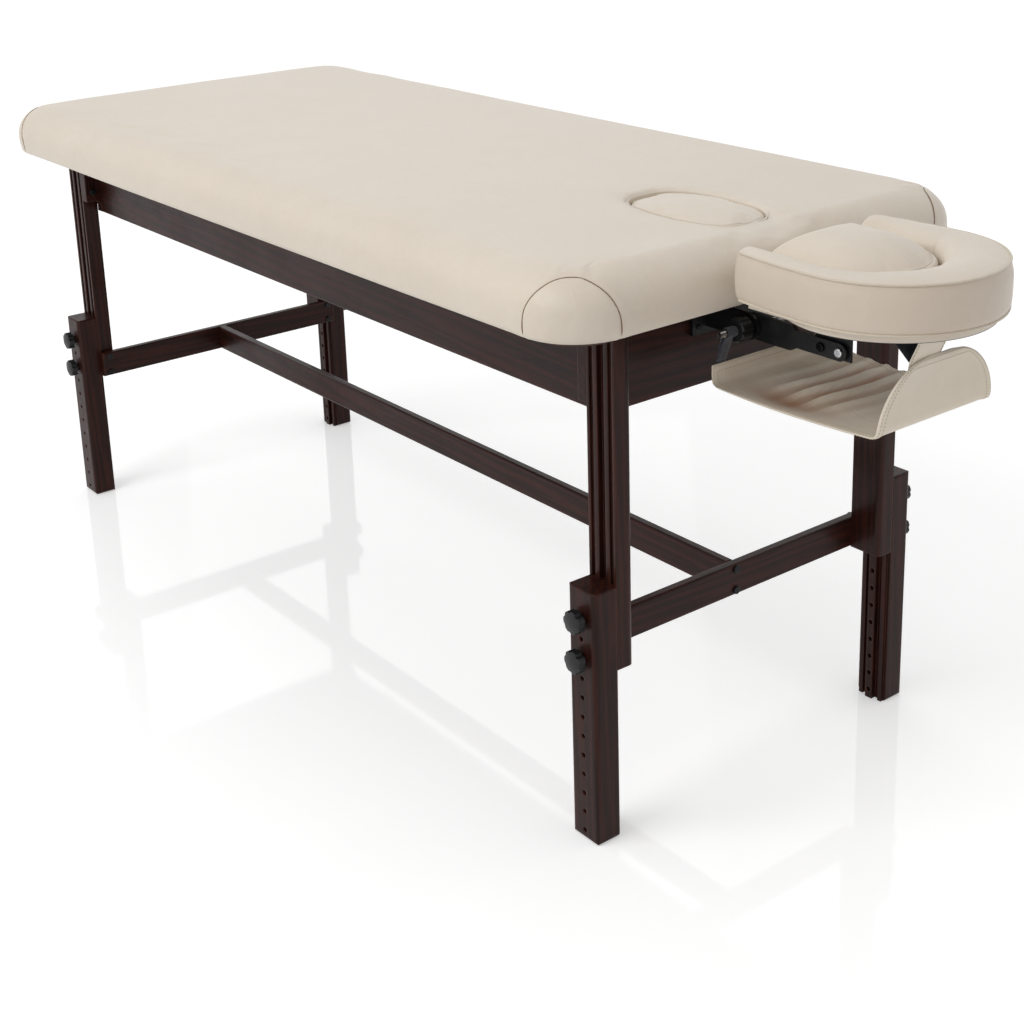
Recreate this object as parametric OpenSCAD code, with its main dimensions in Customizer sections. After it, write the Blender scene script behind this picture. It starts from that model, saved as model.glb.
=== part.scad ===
// Stationary massage table on telescopic wooden legs, with a tilting headrest and an arm sling.
// Millimetres, +Z up, floor at zero, head end towards +X. Drawn with the legs at their longest.

/* [Table cushion] */
// Length of the table cushion
cushion_l = 1790; // [1784:2:1800]
// Width of the table cushion
cushion_w = 790; // [760:5:820]
// Thickness of the table cushion at its rim
cushion_t = 88; // [80:1:100]
// Height of the crown in the middle above the rim
cushion_crown = 7; // [3:1:12]
// Corner radius of the cushion seen from above
cushion_corner_r = 92; // [80:1:110]
// How far the rounded upper edge reaches in over the top
cushion_round = 58; // [40:1:66]
// How far the underside is drawn in under the sides
cushion_under = 12; // [6:1:16]
// Length of the breath hole in the cushion
breath_l = 218; // [212:1:226]
// Width of the breath hole in the cushion
breath_w = 138; // [134:1:150]
// Distance of the breath hole from the cushion's head end
breath_inset = 76; // [70:1:84]
// Squareness of the breath hole, where two is an oval
breath_square = 2.7; // [2.2:0.1:3.2]
// Rounding of the breath hole's upper edge
breath_edge = 4; // [3:0.5:6]
// Height of the breath plug above the cushion
plug_rise = 6; // [2:1:10]

/* [Deck and aprons] */
// Height of the frame's top above the floor, legs at their longest
frame_top = 742; // [735:1:750]
// Thickness of the deck board
deck_t = 12; // [10:1:15]
// How far the deck board lies inside the cushion's outline
deck_inset = 37; // [34:1:40]
// Corner radius of the deck board
deck_corner_r = 62; // [50:1:75]
// Length of the straight middle of the deck's breath opening
deck_slot_l = 40; // [30:1:46]
// Radius of the round ends of the deck's breath opening
deck_slot_r = 52; // [46:1:54]
// Room between the deck's breath opening and the head apron
deck_slot_room = 15; // [10:1:20]
// Depth of the aprons
apron_h = 126; // [120:1:132]
// Thickness of the aprons
apron_t = 18; // [16:1:20]
// How far a long apron's outer face lies inside the legs' meeting faces
apron_inset = 31; // [31:1:36]
// Height of the notch at an end apron's lower corners
apron_notch_h = 24; // [20:1:30]
// Width of a cross rail
rail_t = 22; // [18:1:28]
// Depth of a cross rail
rail_h = 60; // [40:1:80]
// Distance of each cross rail from the table's middle, as a share of the legs'
rail_share = 0.35; // [0.25:0.05:0.45]
// Side of a corner block
block_a = 34; // [28:1:40]
// Height of a corner block
block_h = 90; // [70:1:110]

/* [Legs] */
// How far a leg's outer face lies inside the cushion's end
leg_inset = 42; // [38:1:46]
// Width of a leg seen from the table's side
leg_w = 56; // [56:1:60]
// Thickness of an upper leg
upper_t = 30; // [28:1:34]
// Thickness of a lower leg
lower_t = 40; // [36:1:46]
// How far the face where upper and lower leg meet lies inside the cushion's side
leg_side_inset = 112; // [104:1:114]
// How far upper and lower leg overlap, legs at their longest
leg_lap = 126; // [110:1:132]
// Distance from a lower leg's top hole to its upper end
hole_top = 45; // [40:1:50]
// Rounding of a leg's long edges
leg_edge_r = 8; // [5:1:10]
// Rounding of a lower leg's bottom edges
foot_r = 7; // [4:1:9]
// Rounding of a lower leg's top edges
leg_top_r = 3; // [2:1:5]
// Number of height holes in a lower leg
hole_n = 12; // [12:1:12]
// Distance between height holes
hole_pitch = 30; // [29.5:0.5:30.5]
// Height of the lowest hole above the floor
hole_z = 15; // [14:1:18]
// Diameter of the height holes
hole_d = 8; // [7:0.5:8.5]
// Width of a side groove
groove_w = 8; // [7:0.5:9]
// Depth of a side groove
groove_deep = 5; // [4:0.5:6]
// Distance from the leg's middle line to a side groove's middle
groove_x = 19; // [18.5:0.5:20]
// Width of the middle groove, which guides the knob studs
guide_w = 14; // [13.5:0.5:15]
// Depth of the middle groove
guide_deep = 9; // [8:0.5:10]
// Room left on each side of a tongue in its groove
slide_gap = 0.3; // [0.2:0.05:0.5]

/* [Stretchers] */
// Depth of the stretchers
stretcher_h = 50; // [46:1:56]
// Thickness of the stretchers
stretcher_t = 16; // [14:1:18]
// Rounding of the stretchers' long edges
stretcher_r = 3; // [2:0.5:4]

/* [Knobs and bolts] */
// Radius of a leg knob over its lobes
knob_r = 17; // [15:0.5:18]
// Thickness of a leg knob's head
knob_t = 14; // [12:1:16]
// Radius of a leg knob's collar
collar_r = 8; // [7:0.5:9]
// Length of a leg knob's collar
collar_l = 6; // [5:1:9]
// Number of lobes on a leg knob
lobe_n = 7; // [6:1:8]
// Radius of the hollows between a knob's lobes
hollow_r = 4.5; // [3.5:0.5:5]
// Depth of a stud in its knob
stud_deep = 9; // [7:1:10]
// Height of the dome on a knob's head
knob_dome = 3; // [2:0.5:4]
// Running gap of a stud or rod in its bore
run_gap = 0.05; // [0.03:0.01:0.08]
// Radius of a thread insert
insert_r = 6; // [5.5:0.5:6.5]
// Length of a thread insert
insert_l = 12; // [10:1:14]
// Radius of a bolt's shank
bolt_r = 3; // [2.5:0.5:3.5]
// Radius of a bolt's head
bolt_head_r = 6.5; // [5.5:0.5:7]
// Thickness of a bolt's head
bolt_head_t = 3.5; // [3:0.5:4.5]
// Grip of a bolt in the piece that it is screwed into
bolt_grip = 24; // [20:1:26]
// Distance from a bolt to the nearer edge of its stretcher
bolt_edge = 8; // [8:1:12]

/* [Headrest mechanism] */
// How far the pivot rod lies inside the cushion's end
pivot_inset = 10; // [8:1:12]
// Depth of the pivot rod below the frame's top
pivot_down = 22; // [21:1:24]
// Radius of the pivot rod
rod_r = 5; // [4:0.5:6]
// How far the pivot rod stands out beyond the sling on each side
rod_out = 2; // [1:0.5:6]
// Thickness of the arm plates and the bracket's ears
plate_t = 6; // [5:0.5:7]
// Distance from the table's middle to an arm plate's outer face
arm_y = 63; // [62:0.5:64]
// Room between an arm plate and its ear
ear_gap = 0.3; // [0.3:0.05:0.5]
// Height of an arm plate
arm_h = 24; // [22:1:26]
// Height of an arm plate's deep root
arm_root_h = 36; // [34:1:38]
// Distance from an arm plate's end bolt to the face cushion's middle
arm_short = 26; // [20:1:34]
// Length of an arm plate's deep root from the pivot
arm_root_l = 80; // [70:1:90]
// Thickness of the bracket's base plate
base_t = 6; // [5:0.5:7]
// Width of the bracket's base plate
base_w = 190; // [180:1:200]
// Height of the bracket's base plate
base_h = 46; // [40:1:50]
// Depth of the base plate's top below the frame's top
base_down = 4; // [3:1:6]
// Height of an ear at its outer end
ear_h = 36; // [34:1:38]
// Thickness of the lugs under the cradle board
lug_t = 3; // [2.5:0.5:4]
// Length of a lug along the arm
lug_l = 62; // [56:1:70]
// Width of a lug's flange
lug_w = 36; // [30:1:40]
// Radius of the clamp knobs on the rod
clamp_r = 17; // [15:0.5:19]
// Length of the clamp knobs
clamp_l = 26; // [22:1:30]
// Radius of the small screws
screw_r = 2; // [1.5:0.5:2.5]
// Radius of the small screws' heads
screw_head_r = 4; // [3.5:0.5:5]
// Thickness of the small screws' heads
screw_head_t = 2; // [1.5:0.5:2.5]
// Length of the small screws in wood
screw_l = 8; // [6:1:9]

/* [Face cushion] */
// Room between the table cushion's end and the face cushion
face_room = 31; // [28:1:36]
// Radius of the face cushion's outline
face_r = 152; // [148:1:156]
// Height of the face cushion's underside above the frame's top
face_z = 38; // [36:1:40]
// Thickness of the face cushion at its middle
face_t = 76; // [70:1:80]
// Distance from the face cushion's middle back to its ends
face_back = 140; // [134:1:142]
// Half the width of the face cushion's opening
face_gap_r = 88; // [84:1:90]
// Distance from the face cushion's middle back to the middle of the opening's round end
face_gap_back = 36; // [32:1:40]
// How far the face cushion's sides are drawn in at its seams
face_draw = 6; // [4:1:8]
// How far the ends of the face cushion are narrower than its middle, on each side
face_taper = 12; // [8:1:14]
// Height of the face plug above the face cushion
face_plug_rise = 8; // [4:1:12]
// How far the face plug's back edge bulges towards the table
face_plug_back = 9; // [4:1:12]
// Thickness of the cradle board
cradle_t = 10; // [9:0.5:12]
// How far the cradle board's rim lies inside the face cushion's
cradle_inset = 14; // [10:1:18]
// Half the width of the opening in the cradle board
cradle_gap_r = 48; // [44:1:50]

/* [Arm sling] */
// Height of the sling's shelf below the frame's top
sling_down = 97; // [92:1:100]
// Half the width of the sling at its rear
sling_hw = 123; // [120:1:126]
// How much narrower the sling's front is than its rear, on each side
sling_narrow = 11; // [4:1:18]
// Distance of the sling's rear fold behind the pivot
sling_rear = 15; // [13:1:17]
// Distance from the face cushion's middle to the sling's front fold
sling_reach = 80; // [74:1:88]
// Height of the sling's rear flap
sling_rear_h = 28; // [24:1:32]
// Height of the sling's front flap
sling_front_h = 90; // [84:1:94]
// Thickness of the sling's doubled leather
sling_t = 4; // [3.5:0.5:5]
// Half the width of the flat top of the front flap
flap_top_hw = 20; // [14:1:26]
// Sag of the shelf in its middle
sling_sag = 7; // [4:1:10]
// Height of the soft folds in the shelf
sling_fold = 2.5; // [1.5:0.5:3.5]
// How far the front flap leans forward at its top
sling_lean = 6; // [3:1:8]
// Thickness of the straps
strap_t = 3; // [2.5:0.5:3.5]
// Width of the front strap
front_strap_w = 60; // [50:1:64]
// Distance of the front strap's middle from the sling's middle
front_strap_off = 28; // [20:1:30]
// Length of the front strap along the flap
front_strap_lap = 34; // [28:1:40]
// How far the front strap's outer leg leans forward at its top
front_strap_lean = 20; // [10:1:24]
// Distance between the front strap's two legs at the cradle board
front_strap_open = 60; // [50:1:70]
// Width of the rear straps
rear_strap_w = 18; // [16:1:19]
// Distance of a rear strap's middle from the rod's end
rear_strap_inset = 12; // [11:1:14]

/* [Hidden] */
$fn = 48;
cut_over = 1;
half_share = 0.5;
// Heights of the apron bolts up the aprons
apron_bolt_shares = [0.35, 0.8];
// Part of a lug that lies behind the arm's end bolt
lug_back_share = 0.75;
// Places of the screws along what they hold
screw_shares = [0.25, 0.75];
// Place of the bracket's screws, from the outside of its ears to its ends
bracket_screw_share = 0.55642;
// Place of the lugs' screws across their flanges
lug_screw_share = 0.7;
// Length of a clamp knob's waist
waist_share = 0.2;
// Seam height of the face cushion, and side height of its plug
face_rim_share = 0.9;
face_plug_share = 0.92;
// Place of the plug's crown, back from the face cushion's middle
face_plug_mid_share = 0.55;
// Points between the cushion's corners along its long and short sides
long_edge_n = 8;
short_edge_n = 7;
// Size of the strap loop's inside, as a share of its outside
loop_share = 0.78;
// Evenness of the cushion's crown along its length
crown_power = 4;
// Turn of the sling's folds along it, and their slant across it, in degrees
fold_turn = 1260;
fold_slant = 150;
cushion_end = cushion_l * half_share;
face_x = cushion_end + face_room + face_back;
origin_x = (face_x + face_r - cushion_end) * half_share;
cushion_z = frame_top + deck_t;
breath_x = cushion_end - breath_inset - breath_l * half_share;
leg_x = cushion_end - leg_inset - leg_w * half_share;
leg_in_x = leg_x - leg_w * half_share;
leg_face_y = cushion_w * half_share - leg_side_inset;
apron_y = leg_face_y - apron_inset;
lower_l = hole_z + hole_pitch * (hole_n - 1) + hole_top;
upper_z = lower_l - leg_lap;
apron_z = frame_top - apron_h;
upper_in_y = leg_face_y - upper_t;
lower_face_y = leg_face_y + slide_gap;
lower_out_y = lower_face_y + lower_t;
top_hole_z = hole_z + hole_pitch * (hole_n - 1);
low_knob_z = top_hole_z - hole_pitch * 2;
stretcher_top = upper_z + stretcher_h;
stretcher_bolts_z = [upper_z + bolt_edge, stretcher_top - bolt_edge];
apron_bolts_z = [for (share = apron_bolt_shares) apron_z + apron_h * share];
leg_mid_y = leg_face_y - upper_t * half_share;
dome_r = (knob_r * knob_r + knob_dome * knob_dome) / (knob_dome * 2);
pivot_x = cushion_end - pivot_inset;
pivot_z = frame_top - pivot_down;
board_top = frame_top + face_z;
board_z = board_top - cradle_t;
arm_in_y = arm_y - plate_t;
ear_y = arm_y + ear_gap;
arm_bolt_x = face_x - arm_short;
arm_l = arm_bolt_x - pivot_x;
lug_x = arm_bolt_x - lug_l * lug_back_share;
lug_y = arm_in_y - lug_t;
shelf_z = frame_top - sling_down;
sling_x = pivot_x - sling_rear;
sling_end = face_x + sling_reach;
sling_l = sling_end - sling_x;
sling_front_hw = sling_hw - sling_narrow;
rod_l = (sling_hw + rod_out) * 2;
outline_n = 10;
end_signs = [-1, 1];
slide_gaps = [slide_gap, slide_gap];

// Shared shapes

// Moves a shape drawn from the table's middle to the part's own origin
module placed() {
  translate([-origin_x, 0, 0]) children();
}

// A box between two corners
module box(low, high) {
  translate(low) cube(high - low);
}

// A rod from a point, along +X
module rod_x(at, r, l) {
  translate(at) rotate([0, 90, 0]) cylinder(r = r, h = l);
}

// A rod from a point, along +Y
module rod_y(at, r, l) {
  translate(at) rotate([-90, 0, 0]) cylinder(r = r, h = l);
}

// A rectangle with round corners, between two corners
module round_box_2d(low, high, r) {
  translate(low + [r, 0]) square([high[0] - low[0] - r * 2, high[1] - low[1]]);
  translate(low + [0, r]) square([high[0] - low[0], high[1] - low[1] - r * 2]);
  for (x = [low[0] + r, high[0] - r], y = [low[1] + r, high[1] - r]) {
    translate([x, y]) circle(r = r);
  }
}

// Places a leg's pieces: drawn for the head end and the far side, mirrored to the others
module leg_place(x_sign, y_sign) {
  mirror([x_sign < 0 ? 1 : 0, 0, 0])
    mirror([0, y_sign < 0 ? 1 : 0, 0])
      children();
}

// A button-headed bolt along +X: the head ends at the point, the shank goes on from there
module bolt_x(at, head_r, head_t, shank_r, shank_l) {
  rod_x(at, shank_r, shank_l);
  translate(at - [head_t, 0, 0]) rotate([0, 90, 0]) rotate_extrude() {
    square([head_r - head_t * half_share, head_t]);
    translate([0, head_t * half_share]) square([head_r, head_t * half_share]);
    translate([head_r - head_t * half_share, head_t * half_share]) circle(r = head_t * half_share);
  }
}

// Rings of points, each ring joined to the next
function ring_walls(ring_n, point_n, closed) = [
  for (k = [0 : ring_n - (closed ? 1 : 2)], i = [0 : point_n - 1])
    let (j = (i + 1) % point_n, up = (k + 1) % ring_n)
      each [
        [k * point_n + i, up * point_n + i, up * point_n + j],
        [k * point_n + i, up * point_n + j, k * point_n + j]
      ]
];

// The two end faces of a stack of rings
function ring_ends(ring_n, point_n) = [
  [for (i = [0 : point_n - 1]) i],
  [for (i = [point_n - 1 : -1 : 0]) (ring_n - 1) * point_n + i]
];

// The end strips of a sheet whose rings run out along one face and back along the other
function strip_ends(ring_n, row_n) = let (m = row_n * 2, up = (ring_n - 1) * m) [
  for (j = [0 : row_n - 2])
    each [
      [j, j + 1, m - 2 - j], [j, m - 2 - j, m - 1 - j],
      [up + m - 2 - j, up + j + 1, up + j], [up + m - 1 - j, up + m - 2 - j, up + j]
    ]
];

// A quarter turn of a rounded corner, drawn in by d
function corner_points(hx, hy, r, d, turn) = [
  for (i = [0 : outline_n - 2])
    let (a = turn * 90 + 90 * i / (outline_n - 2), sx = cos(turn * 90 + 45) > 0 ? 1 : -1,
      sy = sin(turn * 90 + 45) > 0 ? 1 : -1)
      [sx * (hx - r) + (r - d) * cos(a), sy * (hy - r) + (r - d) * sin(a)]
];

// Points along a straight edge, ends left out
function edge_points(a, b, n) = [for (i = [1 : n]) a + (b - a) * i / (n + 1)];

// A rounded rectangle, drawn in by d, anticlockwise from the head end's far corner
function rim_points(hx, hy, r, d) =
  let (c = [for (turn = [0 : 3]) corner_points(hx, hy, r, d, turn)], last = outline_n - 2)
    concat(
      c[0], edge_points(c[0][last], c[1][0], long_edge_n),
      c[1], edge_points(c[1][last], c[2][0], short_edge_n),
      c[2], edge_points(c[2][last], c[3][0], long_edge_n),
      c[3], edge_points(c[3][last], c[0][0], short_edge_n));

// Distance from the breath hole's middle to its rim, in the direction of v
function oval_reach(a, b, v) = norm(v)
  / pow(pow(abs(v[0]) / a, breath_square) + pow(abs(v[1]) / b, breath_square), 1 / breath_square);

// The oval's rim point on the ray through p
function oval_point(p, a, b) =
  let (v = p - [breath_x, 0])
    [breath_x, 0] + v / norm(v) * oval_reach(a, b, v);

// Rise of the cushion's crown at a point
function crown_at(p) = cushion_crown
  * (1 - pow(abs(p[0]) / cushion_end, crown_power))
  * (1 - pow(abs(p[1]) / (cushion_w * half_share), 2));

// Table top

// How far the underside is drawn in, and how high that is, as shares
under_shares = [[1, 0], [0.4, 0.05], [0.1, 0.15], [0, 0.3]];
// Where the rounded upper edge starts, as a share of the thickness, and how it's divided
round_share = 0.38;
round_turns = [8, 26, 44, 60, 75, 90];
// How far across the top each ring lies, as a share of the way from the rim to the hole
top_shares = [0.15, 0.4, 0.7, 0.95];

// The cushion's outline, drawn in by d
function cushion_rim(d) = rim_points(cushion_end, cushion_w * half_share, cushion_corner_r, d);

module table_cushion() {
  hole_a = breath_l * half_share;
  hole_b = breath_w * half_share;
  rim = cushion_rim(cushion_round);
  n = len(rim);
  sides = concat(
    [for (s = under_shares)
      [for (p = cushion_rim(cushion_under * s[0]))
        [p[0], p[1], cushion_z + cushion_t * s[1]]]],
    [for (a = round_turns) let (high = cushion_t * (round_share + (1 - round_share) * sin(a)))
      [for (p = cushion_rim(cushion_round * (1 - cos(a))))
        [p[0], p[1], cushion_z + high + crown_at(p) * (1 - cos(a))]]]);
  tops = [for (s = top_shares)
    [for (p = rim)
      let (q = p + (oval_point(p, hole_a + breath_edge, hole_b + breath_edge) - p) * s)
        [q[0], q[1], cushion_z + cushion_t + crown_at(q)]]];
  hole_top = [for (p = rim)
    let (q = oval_point(p, hole_a, hole_b))
      [q[0], q[1], cushion_z + cushion_t + crown_at(q) - breath_edge]];
  hole_low = [for (p = rim)
    let (q = oval_point(p, hole_a, hole_b)) [q[0], q[1], cushion_z]];
  rings = concat(sides, tops, [hole_top, hole_low]);
  placed() color("Wheat")
    polyhedron(points = [for (ring = rings) each ring], faces = ring_walls(len(rings), n, true));
}

// A closed oval pad: rings of a rim drawn in by each share, then a domed top
pad_shares = [[1, 0], [0.2, 0.1], [0, 0.5], [0.15, 0.85], [1.4, 1]];
dome_shares = [0.75, 0.45, 0.15];

module breath_plug() {
  hole_a = breath_l * half_share - slide_gap;
  hole_b = breath_w * half_share - slide_gap;
  high = cushion_t + cushion_crown * half_share;
  dirs = [for (p = cushion_rim(cushion_round)) (p - [breath_x, 0]) / norm(p - [breath_x, 0])];
  sides = [for (s = pad_shares)
    [for (d = dirs)
      let (reach = oval_reach(hole_a - breath_edge * s[0], hole_b - breath_edge * s[0], d))
        [breath_x + d[0] * reach, d[1] * reach, cushion_z + high * s[1]]]];
  domes = [for (s = dome_shares)
    [for (d = dirs)
      let (reach = oval_reach(hole_a, hole_b, d) * s)
        [breath_x + d[0] * reach, d[1] * reach, cushion_z + high + plug_rise * (1 - s * s)]]];
  rings = concat(sides, domes);
  placed() color("Wheat")
    polyhedron(points = [for (ring = rings) each ring],
      faces = concat(ring_walls(len(rings), len(dirs), false), ring_ends(len(rings), len(dirs))));
}

module deck_board() {
  corner = [cushion_end - deck_inset, cushion_w * half_share - deck_inset];
  slot_x = leg_in_x - apron_t - deck_slot_room - deck_slot_r - deck_slot_l * half_share;
  placed() color("BurlyWood") translate([0, 0, frame_top]) linear_extrude(deck_t) difference() {
    round_box_2d(-corner, corner, deck_corner_r);
    translate([slot_x, 0]) {
      square([deck_slot_l, deck_slot_r * 2], center = true);
      for (s = end_signs) translate([s * deck_slot_l * half_share, 0]) circle(r = deck_slot_r);
    }
  }
}

// Aprons and what stiffens them

module long_apron() {
  half_l = leg_in_x - apron_t;
  box([-half_l, apron_y - apron_t, apron_z], [half_l, apron_y, frame_top]);
}

module apron_near() {
  placed() color("Sienna") mirror([0, 1, 0]) long_apron();
}

module apron_far() {
  placed() color("Sienna") long_apron();
}

// An end apron: its lower corners are notched where it passes the long aprons
module end_apron() {
  notch_y = apron_y + cut_over;
  difference() {
    box([leg_in_x - apron_t, -leg_face_y, apron_z], [leg_in_x, leg_face_y, frame_top]);
    for (s = end_signs) mirror([0, s < 0 ? 1 : 0, 0]) {
      translate([leg_in_x - apron_t - cut_over, 0, 0]) rotate([90, 0, 90])
        linear_extrude(apron_t + cut_over * 2) {
          translate([notch_y + apron_notch_h * half_share, apron_z - cut_over])
            square([leg_face_y - notch_y, apron_notch_h + cut_over]);
          translate([notch_y, apron_z - cut_over])
            square([leg_face_y - notch_y, apron_notch_h * half_share + cut_over]);
          translate([notch_y + apron_notch_h * half_share, apron_z + apron_notch_h * half_share])
            circle(r = apron_notch_h * half_share);
        }
      for (z = apron_bolts_z) rod_x([leg_in_x - apron_t - cut_over, leg_mid_y, z],
        bolt_r + run_gap, apron_t + cut_over * 2);
    }
  }
}

module apron_head() {
  placed() color("Sienna") difference() {
    end_apron();
    for (y = bracket_screws_y, z = bracket_screws_z)
      rod_x([leg_in_x - screw_l, y, z], screw_r + run_gap, screw_l + cut_over);
  }
}

module apron_foot() {
  placed() color("Sienna") mirror([1, 0, 0]) end_apron();
}

module cross_rail(x) {
  half_w = apron_y - apron_t;
  box([x - rail_t * half_share, -half_w, frame_top - rail_h], [x + rail_t * half_share, half_w, frame_top]);
}

module cross_rail_head() {
  placed() color("Sienna") cross_rail(leg_in_x * rail_share);
}

module cross_rail_foot() {
  placed() color("Sienna") cross_rail(-leg_in_x * rail_share);
}

module corner_blocks() {
  corner = [leg_in_x - apron_t, apron_y - apron_t];
  placed() color("Sienna")
    for (x = end_signs, y = end_signs) leg_place(x, y)
      translate([0, 0, frame_top - block_h]) linear_extrude(block_h)
        polygon([corner, corner - [block_a, 0], corner - [0, block_a]]);
}

// Legs

// An upper leg: flat inside, with a middle and two side grooves on its outer face
module upper_leg() {
  leg_out_x = leg_x + leg_w * half_share;
  difference() {
    translate([0, 0, upper_z]) linear_extrude(frame_top - upper_z) difference() {
      union() {
        translate([leg_in_x, upper_in_y + leg_edge_r]) square([leg_w, upper_t - leg_edge_r]);
        translate([leg_in_x, upper_in_y]) square([leg_w - leg_edge_r, upper_t]);
        translate([leg_out_x - leg_edge_r, upper_in_y + leg_edge_r]) circle(r = leg_edge_r);
      }
      for (s = end_signs)
        translate([leg_x + s * groove_x - groove_w * half_share, leg_face_y - groove_deep])
          square([groove_w, groove_deep + cut_over]);
      translate([leg_x - guide_w * half_share, leg_face_y - guide_deep])
        square([guide_w, guide_deep + cut_over]);
    }
    for (z = [top_hole_z, low_knob_z])
      rod_y([leg_x, leg_face_y - guide_deep - insert_l, z], insert_r + run_gap, insert_l + cut_over);
    for (z = concat(stretcher_bolts_z, apron_bolts_z))
      rod_x([leg_in_x - cut_over, leg_mid_y, z], bolt_r + run_gap, bolt_grip + cut_over);
  }
}

module upper_leg_head_near() {
  placed() color("SaddleBrown") leg_place(1, -1) upper_leg();
}

module upper_leg_head_far() {
  placed() color("SaddleBrown") leg_place(1, 1) upper_leg();
}

module upper_leg_foot_near() {
  placed() color("SaddleBrown") leg_place(-1, -1) upper_leg();
}

module upper_leg_foot_far() {
  placed() color("SaddleBrown") leg_place(-1, 1) upper_leg();
}

// A lower leg: tongues on its inner face, rounded foot, a row of through holes
module lower_leg() {
  leg_out_x = leg_x + leg_w * half_share;
  crest_y = leg_face_y - guide_deep + slide_gap;
  difference() {
    intersection() {
      linear_extrude(lower_l) {
        translate([leg_in_x, lower_face_y]) square([leg_w, lower_t - leg_edge_r]);
        translate([leg_in_x + leg_edge_r, lower_face_y]) square([leg_w - leg_edge_r * 2, lower_t]);
        for (x = [leg_in_x + leg_edge_r, leg_out_x - leg_edge_r])
          translate([x, lower_out_y - leg_edge_r]) circle(r = leg_edge_r);
        for (s = end_signs)
          translate([leg_x + s * groove_x - groove_w * half_share, leg_face_y - groove_deep] + slide_gaps)
            square([groove_w - slide_gap * 2, groove_deep]);
        translate([leg_x - guide_w * half_share + slide_gap, crest_y])
          square([guide_w - slide_gap * 2, guide_deep]);
      }
      translate([0, lower_out_y + cut_over, 0]) rotate([90, 0, 0])
        linear_extrude(lower_out_y - crest_y + cut_over * 2) union() {
          translate([leg_in_x, foot_r]) square([leg_w, lower_l - foot_r - leg_top_r]);
          translate([leg_in_x + foot_r, 0]) square([leg_w - foot_r * 2, lower_l]);
          for (x = [leg_in_x + foot_r, leg_out_x - foot_r]) translate([x, foot_r]) circle(r = foot_r);
          for (x = [leg_in_x + leg_top_r, leg_out_x - leg_top_r])
            translate([x, lower_l - leg_top_r]) circle(r = leg_top_r);
          translate([leg_in_x + leg_top_r, lower_l - leg_edge_r]) square([leg_w - leg_top_r * 2, leg_edge_r]);
        }
      translate([leg_in_x - cut_over, 0, 0]) rotate([90, 0, 90])
        linear_extrude(leg_w + cut_over * 2) union() {
          translate([crest_y, foot_r]) square([lower_out_y - crest_y, lower_l - foot_r - leg_top_r]);
          translate([crest_y, 0]) square([lower_out_y - crest_y - foot_r, lower_l - leg_top_r]);
          translate([lower_out_y - foot_r, foot_r]) circle(r = foot_r);
          translate([crest_y, lower_l - leg_edge_r]) square([lower_out_y - crest_y - leg_top_r, leg_edge_r]);
          translate([lower_out_y - leg_top_r, lower_l - leg_top_r]) circle(r = leg_top_r);
        }
    }
    for (i = [0 : hole_n - 1])
      rod_y([leg_x, crest_y - cut_over, hole_z + hole_pitch * i], hole_d * half_share,
        lower_out_y - crest_y + cut_over * 2);
  }
}

module lower_leg_head_near() {
  placed() color("SaddleBrown") leg_place(1, -1) lower_leg();
}

module lower_leg_head_far() {
  placed() color("SaddleBrown") leg_place(1, 1) lower_leg();
}

module lower_leg_foot_near() {
  placed() color("SaddleBrown") leg_place(-1, -1) lower_leg();
}

module lower_leg_foot_far() {
  placed() color("SaddleBrown") leg_place(-1, 1) lower_leg();
}

// A lobed knob whose collar stands on the lower leg, with a blind bore for its stud
module knob(x_sign, y_sign, z) {
  placed() color("DimGray") leg_place(x_sign, y_sign)
    translate([leg_x, lower_out_y, z]) rotate([-90, 0, 0]) difference() {
      rotate_extrude() {
        square([collar_r, collar_l + cut_over]);
        intersection() {
          translate([0, collar_l]) square([knob_r, knob_t]);
          union() {
            translate([0, collar_l]) square([knob_r, knob_t - knob_dome]);
            translate([0, collar_l + knob_t - dome_r]) circle(r = dome_r);
          }
        }
      }
      for (i = [0 : lobe_n - 1])
        rotate([0, 0, i * 360 / lobe_n]) translate([knob_r + hollow_r * half_share, 0, collar_l - cut_over])
          cylinder(r = hollow_r, h = knob_t + cut_over * 2);
      translate([0, 0, -cut_over]) cylinder(r = hole_d * half_share, h = stud_deep + cut_over);
    }
}

// A stud: set in its knob, running through the lower leg to its inner face
module stud(x_sign, y_sign, z) {
  placed() color("Silver") leg_place(x_sign, y_sign)
    rod_y([leg_x, lower_face_y, z], hole_d * half_share - run_gap, lower_t + stud_deep);
}

module knob_head_near_top() {
  knob(1, -1, top_hole_z);
}

module knob_head_near_low() {
  knob(1, -1, low_knob_z);
}

module knob_head_far_top() {
  knob(1, 1, top_hole_z);
}

module knob_head_far_low() {
  knob(1, 1, low_knob_z);
}

module knob_foot_near_top() {
  knob(-1, -1, top_hole_z);
}

module knob_foot_near_low() {
  knob(-1, -1, low_knob_z);
}

module knob_foot_far_top() {
  knob(-1, 1, top_hole_z);
}

module knob_foot_far_low() {
  knob(-1, 1, low_knob_z);
}

module stud_head_near_top() {
  stud(1, -1, top_hole_z);
}

module stud_head_near_low() {
  stud(1, -1, low_knob_z);
}

module stud_head_far_top() {
  stud(1, 1, top_hole_z);
}

module stud_head_far_low() {
  stud(1, 1, low_knob_z);
}

module stud_foot_near_top() {
  stud(-1, -1, top_hole_z);
}

module stud_foot_near_low() {
  stud(-1, -1, low_knob_z);
}

module stud_foot_far_top() {
  stud(-1, 1, top_hole_z);
}

module stud_foot_far_low() {
  stud(-1, 1, low_knob_z);
}

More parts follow.
